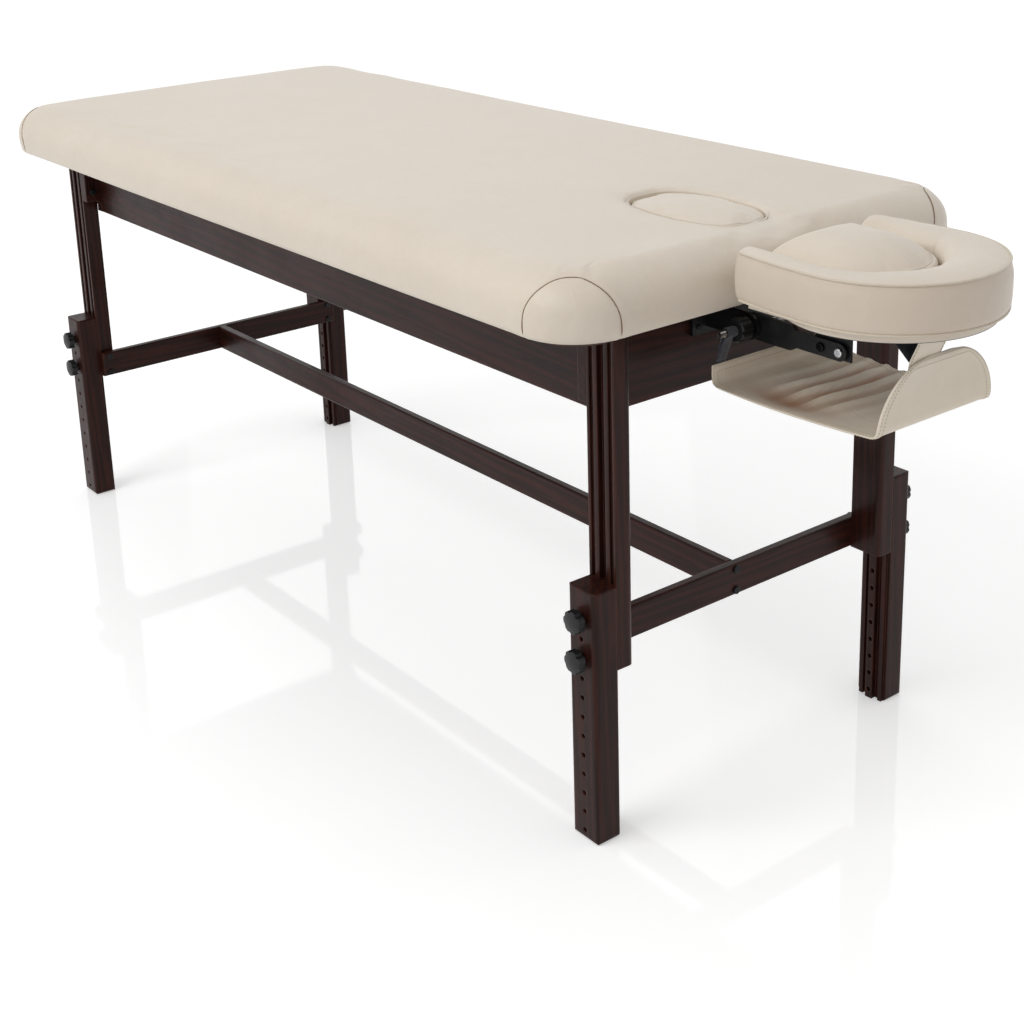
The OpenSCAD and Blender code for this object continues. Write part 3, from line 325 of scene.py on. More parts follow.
def noiseNode(tree, vector, scale, detail=4.0, rough=0.55, distortion=0.0):
    inputs = {"Vector": vector, "Scale": scale, "Detail": detail, "Roughness": rough, "Distortion": distortion}
    return addNode(tree, "TexNoise", inputs).outputs[0]


def scaled(tree, vector, scale):
    return addNode(tree, "Mapping", {"Vector": vector, "Scale": scale}).outputs[0]


def partsOf(tree, vector):
    return addNode(tree, "SeparateXYZ", {0: vector}).outputs


def turned(tree, vector, order):
    # the vector with its parts in another order, such as YZX
    parts = partsOf(tree, vector)
    return addNode(tree, "CombineXYZ", {k: parts[axis] for k, axis in enumerate(order)}).outputs[0]


def bump(tree, height, distance, strength, before=None):
    inputs = {"Height": height, "Distance": distance, "Strength": strength}
    if before is not None:
        inputs["Normal"] = before
    return addNode(tree, "Bump", inputs).outputs[0]


def newGroup(name, inputs, outputs):
    # an input with no value is a vector, and all other sockets are floats
    tree = bpy.data.node_groups.new(name, "ShaderNodeTree")
    for label, value in inputs.items():
        kind = "NodeSocketVector" if value is None else "NodeSocketFloat"
        socket = tree.interface.new_socket(label, in_out="INPUT", socket_type=kind)
        if value is not None:
            socket.default_value = value
    for label in outputs:
        tree.interface.new_socket(label, in_out="OUTPUT", socket_type="NodeSocketFloat")
    return tree, tree.nodes.new("NodeGroupInput").outputs, tree.nodes.new("NodeGroupOutput")


def makeGrain():
    # leather: small cells for the grain, finer ones for pores, and long faint creases
    tree, given, out = newGroup("leatherGrain", {"Vector": None, "Cell": 900.0}, ("Height", "Mottle", "Crease"))
    place = given["Vector"]
    warp = addNode(tree, "TexNoise", {"Vector": place, "Scale": 220.0, "Detail": 2.0}).outputs[1]
    shift = {0: warp, 1: (0.0011, 0.0011, 0.0011), 2: place}
    shifted = addNode(tree, "VectorMath", shift, operation="MULTIPLY_ADD").outputs[0]
    cell = {"Vector": shifted, "Scale": given["Cell"]}
    cells = addNode(tree, "TexVoronoi", cell, feature="DISTANCE_TO_EDGE").outputs[0]
    pores = mathNode(tree, "MULTIPLY", noiseNode(tree, place, 2400.0, 3.0, 0.6), 0.25)
    fine = mathNode(tree, "MULTIPLY_ADD", rangeNode(tree, cells, 0.0, 0.22), 0.55, pores)
    height = mathNode(tree, "MULTIPLY_ADD", noiseNode(tree, place, 90.0, 3.0, 0.5), 0.35, fine)
    mottle = noiseNode(tree, place, 7.0, 5.0, 0.6, 0.4)
    lines = noiseNode(tree, scaled(tree, place, (1.0, 2.2, 1.0)), 11.0, 2.0, 0.4, 0.7)
    away = mathNode(tree, "ABSOLUTE", mathNode(tree, "SUBTRACT", lines, 0.5))
    crease = mathNode(tree, "POWER", rangeNode(tree, away, 0.0, 0.16, 1.0, 0.0), 2.0)
    wire(tree, out, {"Height": height, "Mottle": mottle, "Crease": crease})
    return tree


def makeWood():
    # wood sawn along Z: growth bands from stretched noise, dark pores as fine long flecks, and silky fibres
    tree, given, out = newGroup("woodGrain", {"Vector": None}, ("Bands", "Pores", "Fibre"))

    def drawn(share):
        # the place with its Z drawn out
        return scaled(tree, given["Vector"], (1.0, 1.0, share))

    slow = noiseNode(tree, drawn(0.07), 22.0, 3.0, 0.5, 0.8)
    wave = {"Vector": drawn(0.05), "Scale": 34.0, "Distortion": 9.0, "Detail": 3.0, "Detail Scale": 1.4,
            "Detail Roughness": 0.6}
    bands = addNode(tree, "TexWave", wave, wave_type="BANDS", bands_direction="DIAGONAL").outputs[1]
    mixed = mathNode(tree, "MULTIPLY_ADD", bands, 0.45, mathNode(tree, "MULTIPLY", slow, 0.6))
    pores = rangeNode(tree, noiseNode(tree, drawn(0.035), 1100.0, 2.0, 0.5), 0.60, 0.70)
    wire(tree, out, {"Bands": mixed, "Pores": pores, "Fibre": noiseNode(tree, drawn(0.02), 2200.0, 3.0, 0.6)})
    return tree


def makeWear():
    # soft patches of handling and dust: broad noise, and fine specks apart
    tree, given, out = newGroup("handling", {"Vector": None, "Scale": 14.0}, ("Mask", "Specks"))
    mask = rangeNode(tree, noiseNode(tree, given["Vector"], given["Scale"], 5.0, 0.65, 0.3), 0.42, 0.72)
    specks = rangeNode(tree, noiseNode(tree, given["Vector"], 900.0, 2.0, 0.5), 0.68, 0.74)
    wire(tree, out, {"Mask": mask, "Specks": specks})
    return tree


def makeWeave():
    # webbing: over and under threads from two crossed waves
    tree, given, out = newGroup("webbingWeave", {"Vector": None, "Threads": 700.0}, ("Height", "Tone"))
    parts = partsOf(tree, given["Vector"])

    def threads(place):
        return mathNode(tree, "SINE", mathNode(tree, "MULTIPLY", place, given["Threads"]))

    along = threads(mathNode(tree, "ADD", parts["X"], parts["Z"]))
    crossed = mathNode(tree, "MULTIPLY", threads(parts["Y"]), along)
    height = mathNode(tree, "MULTIPLY_ADD", crossed, 0.5, 0.5)
    wire(tree, out, {"Height": height, "Tone": noiseNode(tree, given["Vector"], 300.0, 3.0, 0.6)})
    return tree


groups = {"grain": makeGrain(), "wood": makeWood(), "wear": makeWear(), "weave": makeWeave()}


def useGroup(tree, name, vector, **inputs):
    return addNode(tree, "Group", {"Vector": vector, **inputs}, node_tree=groups[name]).outputs


def newMaterial(name):
    material = bpy.data.materials.new(name)
    material.use_nodes = True
    tree = material.node_tree
    return material, tree, tree.nodes["Principled BSDF"], addNode(tree, "TexCoord").outputs["Object"]


def leather(name, look):
    material, tree, shader, coords = newMaterial(name)
    grain = useGroup(tree, "grain", coords, Cell=look["cells"])
    wear = useGroup(tree, "wear", coords, Scale=9.0)
    tone = blendNode(tree, rangeNode(tree, grain["Mottle"], 0.3, 0.7), look["dark"], look["light"])
    tone = blendNode(tree, mathNode(tree, "MULTIPLY", wear["Mask"], look["warmth"]), tone, look["warm"])
    tone = blendNode(tree, rangeNode(tree, grain["Height"], 0.30, 0.55, look["pits"], 0.0), tone, look["deep"])
    # painted shade: the shade attribute multiplies the colour towards the fold colour, a brown that stands in for
    # the shadow in the sling's fold valleys and pool
    if "fold" in look:
        shade = addNode(tree, "Attribute", attribute_name="shade").outputs["Fac"]
        tone = blendNode(tree, shade, tone, look["fold"], "MULTIPLY")
    creases = bump(tree, mathNode(tree, "MULTIPLY", grain["Crease"], look["crease"]), 0.0016, 0.6)
    wire(tree, shader, {
        "Base Color": tone, "Sheen Weight": look["sheen"],
        "Roughness": rangeNode(tree, grain["Mottle"], 0.3, 0.7, look["rough"] - 0.05, look["rough"] + 0.06),
        "Normal": bump(tree, grain["Height"], look["depth"], 0.8, creases)})
    return material


def wood(name, order, look):
    # order puts the axis that the grain runs along last
    material, tree, shader, coords = newMaterial(name)
    grain = useGroup(tree, "wood", turned(tree, coords, order))
    wear = useGroup(tree, "wear", coords, Scale=18.0)
    tone = blendNode(tree, rangeNode(tree, grain["Bands"], 0.25, 0.8), look["dark"], look["red"])
    tone = blendNode(tree, mathNode(tree, "MULTIPLY", grain["Pores"], 0.75), tone, look["pore"])
    tone = blendNode(tree, mathNode(tree, "MULTIPLY", grain["Fibre"], 0.22), tone, look["light"])
    # the edges, where the rounded normal turns away from the face, are lighter in patches: partly worn lacquer,
    # partly a painted highlight
    rounded = addNode(tree, "Bevel", {"Radius": look["round"]}, samples=6).outputs[0]
    flat = addNode(tree, "NewGeometry").outputs["True Normal"]
    facing = addNode(tree, "VectorMath", {0: rounded, 1: flat}, operation="DOT_PRODUCT").outputs[1]
    thin = mathNode(tree, "MULTIPLY_ADD", wear["Mask"], 0.5, 0.25)
    edge = mathNode(tree, "MULTIPLY", rangeNode(tree, facing, 0.8, 0.99, 1.0, 0.0), thin)
    height = mathNode(tree, "SUBTRACT", mathNode(tree, "MULTIPLY", grain["Fibre"], 0.5), grain["Pores"])
    wire(tree, shader, {
        "Base Color": blendNode(tree, edge, tone, look["edge"]), "Specular IOR Level": look["gloss"],
        "Roughness": rangeNode(tree, wear["Mask"], 0.0, 1.0, look["rough"], look["rough"] + 0.1),
        "Coat Weight": look["coat"], "Coat Roughness": 0.1,
        "Normal": bump(tree, height, 0.00012, 0.5, rounded)})
    return material


def plain(name, look):
    # moulded plastic, powder coat or metal: fine bump, patches of handling, and specks
    material, tree, shader, coords = newMaterial(name)
    wear = useGroup(tree, "wear", coords, Scale=30.0)
    fine = noiseNode(tree, coords, look["grain"], 3.0, 0.6)
    tone = blendNode(tree, mathNode(tree, "MULTIPLY", wear["Mask"], look["worn"]), look["colour"], look["rub"])
    tone = blendNode(tree, mathNode(tree, "MULTIPLY", wear["Specks"], 0.25), tone, look["speck"])
    if "ahead" in look:
        # only what lies ahead of this place along X is bright, the rest is blackened
        ahead = rangeNode(tree, partsOf(tree, coords)["X"], look["ahead"] - 0.001, look["ahead"] + 0.001)
        tone = blendNode(tree, ahead, look["behind"], tone)
    if look.get("brushed"):
        stretch = noiseNode(tree, scaled(tree, coords, (1.0, 0.02, 1.0)), 2600.0, 2.0, 0.5)
        fine = mathNode(tree, "ADD", fine, stretch)
    wire(tree, shader, {
        "Base Color": tone, "Metallic": look["metal"], "Specular IOR Level": look["gloss"],
        "Roughness": rangeNode(tree, wear["Mask"], 0.0, 1.0, look["rough"], look["rough"] + look["spread"]),
        "Normal": bump(tree, fine, look["depth"], 0.6)})
    return material


def webbing(name, look):
    material, tree, shader, coords = newMaterial(name)
    weave = useGroup(tree, "weave", coords, Threads=look["threads"])
    tone = blendNode(tree, rangeNode(tree, weave["Height"], 0.1, 0.9), look["dark"], look["light"])
    tone = blendNode(tree, rangeNode(tree, weave["Tone"], 0.4, 0.7, 0.0, 0.35), tone, look["dust"])
    wire(tree, shader, {"Base Color": tone, "Roughness": 0.82, "Sheen Weight": 0.25,
                        "Normal": bump(tree, weave["Height"], 0.0005, 0.8)})
    return material


def plywood(name, look):
    # layers stacked along Z, each with its own shade, under a thin dark stain
    material, tree, shader, coords = newMaterial(name)
    layer = mathNode(tree, "FLOOR", mathNode(tree, "MULTIPLY", partsOf(tree, coords)["Z"], 1 / look["layer"]))
    shade = addNode(tree, "TexWhiteNoise", {"W": layer}, noise_dimensions="1D").outputs[0]
    grain = useGroup(tree, "wood", turned(tree, coords, "YZX"))
    tone = blendNode(tree, shade, look["dark"], look["light"])
    tone = blendNode(tree, mathNode(tree, "MULTIPLY", grain["Pores"], 0.5), tone, look["pore"])
    tone = blendNode(tree, mathNode(tree, "MULTIPLY", grain["Bands"], 0.4), tone, look["band"])
    wire(tree, shader, {"Base Color": tone, "Roughness": 0.6, "Normal": bump(tree, grain["Fibre"], 0.0002, 0.5)})
    return material


def wrappedBoard(name, look):
    # leather drawn over the board's edge, and thin dark cloth on the face beneath
    material, tree, shader, coords = newMaterial(name)
    grain = useGroup(tree, "grain", coords)
    weave = useGroup(tree, "weave", coords, Threads=5200.0)
    cloth = blendNode(tree, weave["Tone"], webLook["dark"], webLook["light"])
    hide = blendNode(tree, rangeNode(tree, grain["Mottle"], 0.3, 0.7), creamLook["dark"], creamLook["light"])
    beneath = rangeNode(tree, partsOf(tree, coords)["Z"], look["under"], look["under"] + look["blur"], 1.0, 0.0)
    height = blendNode(tree, beneath, grain["Height"], weave["Height"])
    wire(tree, shader, {
        "Base Color": blendNode(tree, beneath, hide, cloth),
        "Roughness": rangeNode(tree, beneath, 0.0, 1.0, creamLook["rough"], look["rough"]),
        "Normal": bump(tree, height, 0.00015, 0.8)})
    return material


creamLook = {"cells": 950.0, "dark": lin(223, 211, 195), "light": lin(230, 219, 204), "warm": lin(226, 210, 189),
             "warmth": 0.35, "deep": lin(196, 180, 156), "pits": 0.22, "rough": 0.37, "sheen": 0.06,
             "crease": 0.25, "depth": 0.00014}
# the sling is a lighter copy of the cream leather, painted as lit; its fold colour is the painted shade of its fold
# valleys and pool
slingLitShadedLook = dict(creamLook, dark=lin(238, 225, 205), light=lin(244, 233, 216), fold=lin(166, 108, 62),
                 rough=0.5, crease=0.4, depth=0.0002)
seamLook = dict(creamLook, dark=lin(120, 92, 66), light=lin(140, 108, 78), warm=lin(110, 82, 58),
                deep=lin(80, 58, 40))
# the face cushion's outer wall is a darker, warmer copy of the cream leather: painted shade for the side that faces
# away from the lights
bandShadedLook = dict(creamLook, dark=lin(213, 198, 181), light=lin(220, 206, 190), warm=lin(213, 195, 174))
pipingLook = dict(creamLook, dark=lin(210, 197, 178), light=lin(220, 209, 192))
# the wood's lighter edge colour is partly worn lacquer and partly a painted highlight on the edges
woodLook = {"dark": lin(24, 12, 9), "red": lin(56, 25, 19), "pore": lin(10, 5, 4), "light": lin(74, 40, 31),
            "edge": lin(104, 62, 48), "round": 0.0035, "rough": 0.34, "coat": 0.06, "gloss": 0.12}
knobLook = {"colour": lin(22, 22, 23), "rub": lin(36, 36, 37), "speck": lin(80, 80, 82), "worn": 0.4,
            "rough": 0.38, "spread": 0.18, "metal": 0.0, "gloss": 0.3, "grain": 1500.0, "depth": 0.00012}
blackLook = dict(knobLook, colour=lin(18, 18, 19), rough=0.34, grain=2200.0, depth=0.00016)
boltLook = dict(knobLook, rub=lin(60, 60, 62), rough=0.28, metal=0.6, grain=1800.0, depth=0.00006)
steelLook = {"colour": lin(196, 198, 200), "rub": lin(150, 150, 150), "speck": lin(120, 116, 110), "worn": 0.3,
             "rough": 0.2, "spread": 0.18, "metal": 1.0, "gloss": 0.5, "grain": 1600.0, "depth": 0.00005,
             "brushed": True}
armBoltLook = dict(steelLook, ahead=(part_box("arm_bolts")[0].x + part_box("arm_bolts")[1].x) / 2,
                   behind=lin(30, 30, 32))
brassLook = dict(steelLook, colour=lin(200, 160, 84), rub=lin(150, 116, 60))
webLook = {"threads": 2600.0, "dark": lin(26, 27, 32), "light": lin(58, 60, 70), "dust": lin(98, 98, 104)}
threadLook = {"threads": 3600.0, "dark": lin(176, 158, 130), "light": lin(206, 190, 164),
              "dust": lin(214, 200, 178)}
plyLook = {"layer": 0.0016, "dark": lin(52, 32, 23), "light": lin(78, 50, 36), "pore": lin(30, 18, 13),
           "band": lin(66, 42, 30)}
boardLook = {"under": 0.7704, "blur": 0.0006, "rough": 0.85}

skins = {
    "cream": leather("creamLeather", creamLook),
    "sling": leather("slingLeatherLitAndShaded", slingLitShadedLook),
    "seam": leather("seamThread", seamLook),
    "band": leather("bandLeatherShaded", bandShadedLook),
    "piping": leather("pipingLeather", pipingLook),
    "woodX": wood("darkWoodX", "YZX", woodLook),
    "woodY": wood("darkWoodY", "XZY", woodLook),
    "woodZ": wood("darkWoodZ", "XYZ", woodLook),
    "knob": plain("knobPlastic", knobLook),
    "black": plain("blackSteel", blackLook),
    "bolt": plain("boltBlack", boltLook),
    "steel": plain("brightSteel", steelLook),
    "brass": plain("brass", brassLook),
    "armBolt": plain("armBolts", armBoltLook),
    "web": webbing("darkWebbing", webLook),
    "thread": webbing("paleThread", threadLook),
    "ply": plywood("stainedPlywood", plyLook),
    "board": wrappedBoard("wrappedBoard", boardLook),
}
print("materials made:", len(skins))


# CAD nodes keep their shape: each takes a material, and the wood its eased edges

nodeStarts = {
    "woodX": ("apron_near", "apron_far", "stretcher_long"),
    "woodY": ("apron_head", "apron_foot", "cross_rail", "stretcher_head", "stretcher_foot"),
    "woodZ": ("upper_leg", "lower_leg", "corner_blocks"),
    "knob": ("knob_", "clamp_knob"),
    "black": ("headrest_bracket", "arm_near", "arm_far", "lug_near", "lug_far"),
    "bolt": ("stretcher_bolts", "leg_bolts", "bracket_screws", "lug_screws"),
    "steel": ("pivot_rod", "stud_"),
    "brass": ("thread_inserts",),
    "armBolt": ("arm_bolts",),
    "ply": ("deck_board",),
    "board": ("cradle_board",),
}
easedEdge = {"width": 0.0012, "segments": 2, "angle": 40, "weld": 0.00002}


def dress(obj, skin):
    for slot in obj.material_slots:
        slot.material = skins[skin]
    if not obj.material_slots:
        obj.data.materials.append(skins[skin])
    if skin.startswith("wood"):
        obj.modifiers.new("weld", "WELD").merge_threshold = easedEdge["weld"]
        ease = obj.modifiers.new("ease", "BEVEL")
        ease.width, ease.segments, ease.limit_method = easedEdge["width"], easedEdge["segments"], "ANGLE"
        ease.angle_limit = math.radians(easedEdge["angle"])


for skin, starts in nodeStarts.items():
    for name, obj in nodes.items():
        if name.startswith(starts):
            dress(obj, skin)
print("CAD nodes dressed")

cushionLow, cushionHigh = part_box("table_cushion")
tableMid = (cushionLow.x + cushionHigh.x) / 2


def place(obj, body, slotName, nodesFor=()):
    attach(obj, body)
    if nodesFor:
        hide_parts(*nodesFor)


# Table cushion: rings from the lower edge up over the rounded side and in to the breath hole

cushion = {
    "halfLong": 0.895, "halfWide": 0.395, "cornerR": 0.092, "low": 0.754, "thick": 0.088, "crown": 0.007,
    "roundIn": 0.058, "roundFrom": 0.38, "underIn": 0.012, "underTo": 0.30, "lip": 0.0035,
    "holeX": 0.710, "holeLong": 0.109, "holeWide": 0.069, "holePower": 2.7,
    "underRows": 7, "sideRows": 21, "topRows": 40, "topEase": 1.25, "cornerCols": 44, "longCols": 160,
    "shortCols": 60, "puff": {"pressure": 4.0, "frames": 14, "cap": 0.0024}, "startLow": 0.0016,
    "sideFrom": (0.01, 0.03), "sideTo": (0.07, 0.02), "sideWave": (0.0005, 0.16, 3), "wave": (0.0004, 0.42, 4),
    "topFrom": 0.08, "dish": (0.0010, 0.10, 0.05), "tips": (3.55, 0.35), "tip": (0.0030, 0.020, 1.3)}
patch = {"half": 0.075, "high": 0.104, "power": 2.2, "groove": 0.0014, "reach": 0.0035, "thread": 0.0011,
         "rib": 0.0005, "ribAt": 0.008, "ribWide": 0.006, "points": 90, "step": 0.003, "soft": 6}
breathMid = np.array([cushion["holeX"], 0])


def cushionColumns():
    # each column's place on the inner rectangle, its outward direction, and the distance round the rim
    c = cushion
    hx, hy = c["halfLong"] - c["cornerR"], c["halfWide"] - c["cornerR"]
    corners = np.array([(hx, hy), (-hx, hy), (-hx, -hy), (hx, -hy)])
    bases, ways, middles = [], [], []
    for k in range(4):
        a = (k + np.arange(c["cornerCols"]) / c["cornerCols"]) * np.pi / 2
        middles.append(sum(len(b) for b in bases) + c["cornerCols"] // 2)
        bases.append(np.tile(corners[k], (len(a), 1)))
        ways.append(np.stack([np.cos(a), np.sin(a)], -1))
        count = c["longCols"] if k % 2 == 0 else c["shortCols"]
        bases.append(lerp(corners[k], corners[(k + 1) % 4], np.arange(count)[:, None] / count))
        b = (k + 1) * np.pi / 2
        ways.append(np.tile([math.cos(b), math.sin(b)], (count, 1)))
    base, way = np.concatenate(bases), np.concatenate(ways)
    rim = base + way * c["cornerR"]
    far = lengthAlong(np.concatenate([rim, rim[:1]]))
    return base, way, far[:-1], far[-1], middles


def holeReach(v, out=0.0):
    # how far the breath hole's rim, widened, lies from its middle in a direction: a squared oval
    across = v[:, 0] / (cushion["holeLong"] + out), v[:, 1] / (cushion["holeWide"] + out)
    return 1 / oval(*across, cushion["holePower"])


def crownAt(p):
    x, y = np.abs(p[:, 0]) / cushion["halfLong"], p[:, 1] / cushion["halfWide"]
    return cushion["crown"] * (1 - x ** 4) * (1 - y ** 2)


def cushionSurface():
    c = cushion
    base, way = cushionColumns()[:2]
    rows = []

    def ring(d, high, crownShare=0.0):
        p = base + way * (c["cornerR"] - d)
        rows.append(np.column_stack([p, c["low"] + high + crownAt(p) * crownShare]))
        return p

    for a in np.linspace(0, np.pi / 2, c["underRows"]):
        ring(c["underIn"] * (1 - math.sin(a)), c["underTo"] * c["thick"] * (1 - math.cos(a)))
    for a in np.linspace(0, np.pi / 2, c["sideRows"]):
        high = c["thick"] * lerp(c["roundFrom"], 1, math.sin(a))
        rim = ring(c["roundIn"] * (1 - math.cos(a)), high, 1 - math.cos(a))
    ray = unit(rim - breathMid)

    def hole(out):
        return breathMid + ray * holeReach(ray, out)[:, None]

    for s in np.linspace(0, 1, c["topRows"] + 1)[1:]:
        q = lerp(rim, hole(c["lip"]), 1 - (1 - s) ** c["topEase"])
        rows.append(np.column_stack([q, c["low"] + c["thick"] + crownAt(q)]))
    top = c["low"] + c["thick"] + crownAt(hole(0))
    for a in np.linspace(0, np.pi / 2, 5)[1:]:
        rows.append(np.column_stack([hole(c["lip"] * (1 - math.sin(a))), top - c["lip"] * (1 - math.cos(a))]))
    # the hole's wall ends a quarter of its depth above the lower edge, where the underside begins
    for s in (0.25, 0.5, 0.75):
        rows.append(np.column_stack([hole(0), lerp(top - c["lip"], c["low"], s)]))
    return np.stack(rows)


def patchDistance(surface):
    # how far each point lies outside the nearest corner patch's seam, and how far up from the lower edge,
    # both measured over the surface
    _, _, far, total, middles = cushionColumns()
    steps = np.linalg.norm(np.diff(surface, axis=0), axis=-1)
    up = np.concatenate([np.zeros((1, surface.shape[1])), np.cumsum(steps, axis=0)])
    best = np.full(surface.shape[:2], 9.0)
    for m in middles:
        away = (far - far[m] + total / 2) % total - total / 2
        d = (oval((away / patch["half"])[None], up / patch["high"], patch["power"]) - 1) * patch["high"]
        best = np.where(np.abs(d) < np.abs(best), d, best)
    return best, up


def makeTableCushion():
    c = cushion
    surface = cushionSurface()
    high = smooth((surface[::2, ::2, 2] - c["low"]) / c["thick"])
    pins = np.zeros(high.shape)
    pins[:2], pins[-3:] = 1, 1
    surface = puffed(surface, pins, c["puff"], high * c["startLow"])
    normal = gridNormals(surface, True)
    d, up = patchDistance(surface)
    push = patch["rib"] * gauss(np.abs(d) - patch["ribAt"], patch["ribWide"])
    push -= patch["groove"] * gauss(d, patch["reach"])
    (low, lowWide), (top, topWide) = c["sideFrom"], c["sideTo"]
    side = smooth((up - low) / lowWide) * (1 - smooth((surface[..., 2] - c["low"] - top) / topWide))
    push += side * smoothNoise(surface, *c["sideWave"]) + smoothNoise(surface, *c["wave"])
    fromHole = surface[..., :2] - breathMid
    onTop = surface[..., 2] > c["low"] + c["topFrom"]
    deep, at, wide = c["dish"]
    push -= deep * gauss(np.linalg.norm(fromHole, axis=-1) - at, wide) * onTop
    deep, wide, power = c["tip"]
    for turn in c["tips"]:
        way = np.array([[math.cos(turn), math.sin(turn)]])
        away = np.linalg.norm(fromHole - way[0] * holeReach(way), axis=-1)
        push -= deep * np.exp(-(away / wide) ** power) * onTop
    push[:1], push[-5:] = 0, 0
    surface = surface + normal * push[..., None]
    surface[..., 0] += tableMid
    rows, cols = surface.shape[:2]
    first = np.arange(cols)
    last = first + (rows - 1) * cols
    underside = np.stack([first, last, np.roll(last, -1), np.roll(first, -1)], -1)
    faces = [gridFaces(rows, cols, True), underside]
    obj = meshFrom("cushion_cover", surface.reshape(-1, 3), faces, skins["cream"])
    place(obj, "frame", "cushion_leather", ["table_cushion"])
    print("table cushion:", rows * cols, "points")
    return surface


def makeCornerSeams(grid):
    # a thread along each corner patch's edge, found on the cushion before it was puffed
    rows, cols = grid.shape[:2]
    _, _, far, total, middles = cushionColumns()
    up = patchDistance(cushionSurface())[1]
    a = np.linspace(0, np.pi, patch["points"])
    power = 2 / patch["power"]
    away = -patch["half"] * np.sign(np.cos(a)) * np.abs(np.cos(a)) ** power
    high = patch["high"] * np.abs(np.sin(a)) ** power
    for k, m in enumerate(middles):
        col = np.interp((far[m] + away) % total, np.append(far, total), np.arange(cols + 1))
        row = np.array([np.interp(h, up[:, int(c) % cols], np.arange(rows)) for h, c in zip(high, col)])
        path = relaxed(evenly(onGrid(grid, row, col), patch["step"]), patch["soft"], weight=2)
        seam = tube(f"corner_seam_{k + 1}", path, patch["thread"], skins["seam"], sides=6)
        place(seam, "frame", "cushion_leather")


makeCornerSeams(makeTableCushion())


# Plugs: rings of an outline from its foot up the side, over the seam and in to the crown.
# Each pucker is its place round the plug, its depth and its width

breathPlug = {"low": 0.754, "side": 0.0905, "rise": 0.0075, "round": 0.006, "foot": 0.004, "dome": 2.4, "cols": 128,
              "puff": {"pressure": 4.5, "frames": 18, "cap": 0.004}, "sink": 0.003, "seam": 0.0005, "gap": 0.0003,
              "puckers": [(3.55, 0.0026, 0.24), (0.35, 0.0026, 0.26), (2.75, 0.0010, 0.24), (5.9, 0.0010, 0.24)],
              "fill": 0.85}
facePlug = {"low": 0.7804, "side": 0.0576, "rise": 0.0290, "round": 0.007, "foot": 0.006, "dome": 2.9, "cols": 160,
            "puff": {"pressure": 4.5, "frames": 18, "cap": 0.006}, "sink": 0.004, "seam": 0.0008,
            "puckers": [(0.15, 0.0022, 0.12), (5.9, 0.0020, 0.16), (2.5, 0.0020, 0.16), (3.75, 0.0034, 0.2),
                        (1.35, 0.0010, 0.12), (4.85, 0.0012, 0.12)],
            "fill": 0.8, "step": 0.0015, "soft": 14}
plugLook = {"footTo": 0.22, "sideTo": 0.86, "topRows": 26, "topTo": 0.97, "wave": (0.0005, 0.07, 11),
            "waveFrom": (0.9, 0.01), "puckerFrom": (0.6, 0.02), "puckerAt": 0.93, "puckerWide": 0.13,
            "pleat": 0.3, "groove": 0.0009, "grooveWide": 0.8, "pipeUp": 0.0004, "pipeStep": 0.003}
face = {"x": 1.066, "outer": 0.152, "back": 0.140, "gapR": 0.088, "gapBack": 0.036, "taper": 0.012, "low": 0.780,
        "gap": 0.0003, "plugBack": 0.009}
faceMid = np.array([face["x"] - face["back"] * 0.5, 0.0])


def breathOutline():
    # points spaced by the oval's own length, not by angle
    a = np.linspace(0, 2 * np.pi, 4001)[:-1]
    v = np.stack([np.cos(a), np.sin(a)], -1)
    return spaced(v * holeReach(v, -breathPlug["gap"])[:, None], breathPlug["cols"], closed=True) + breathMid


def facePlugOutline():
    r, mid, back = face["gapR"] - face["gap"], face["x"] - face["gapBack"], face["x"] - face["back"]
    a = np.linspace(-np.pi / 2, np.pi / 2, 60)
    front = np.column_stack([mid + r * np.cos(a), r * np.sin(a)])
    y = np.linspace(r, -r, 50)[1:-1]
    rear = np.column_stack([back - face["plugBack"] * (1 - (y / r) ** 2), y])
    half = lerp(mid, back, 0.5)
    path = np.concatenate([front, [[half, r], [back, r]], rear, [[back, -r], [half, -r]]])
    path = relaxed(evenly(path, facePlug["step"], closed=True), facePlug["soft"], closed=True)
    return spaced(path, facePlug["cols"], closed=True)


def plugSurface(outline, look, centre):
    inward = unit(centre - outline)
    rows = []

    def ring(inset, z):
        rows.append(np.column_stack([outline + inward * inset, np.full(len(outline), look["low"] + z)]))

    side, footTo, sideTo = look["side"], plugLook["footTo"], plugLook["sideTo"]
    for a in np.linspace(0, np.pi / 2, 5):
        ring(look["foot"] * (1 - math.sin(a)), side * footTo * (1 - math.cos(a)))
    for s in np.linspace(footTo, sideTo, 8)[1:]:
        ring(0.0, side * s)
    for a in np.linspace(0, np.pi / 2, 7)[1:]:
        ring(look["round"] * (1 - math.cos(a)), side * lerp(sideTo, 1.0, math.sin(a)))
    edge = rows[-1]
    for s in np.linspace(0, plugLook["topTo"], plugLook["topRows"])[1:]:
        p = edge.copy()
        p[:, :2] = lerp(edge[:, :2], centre, s)
        p[:, 2] += look["rise"] * (1 - (1 - s) ** look["dome"])
        rows.append(p)
    return np.stack(rows)


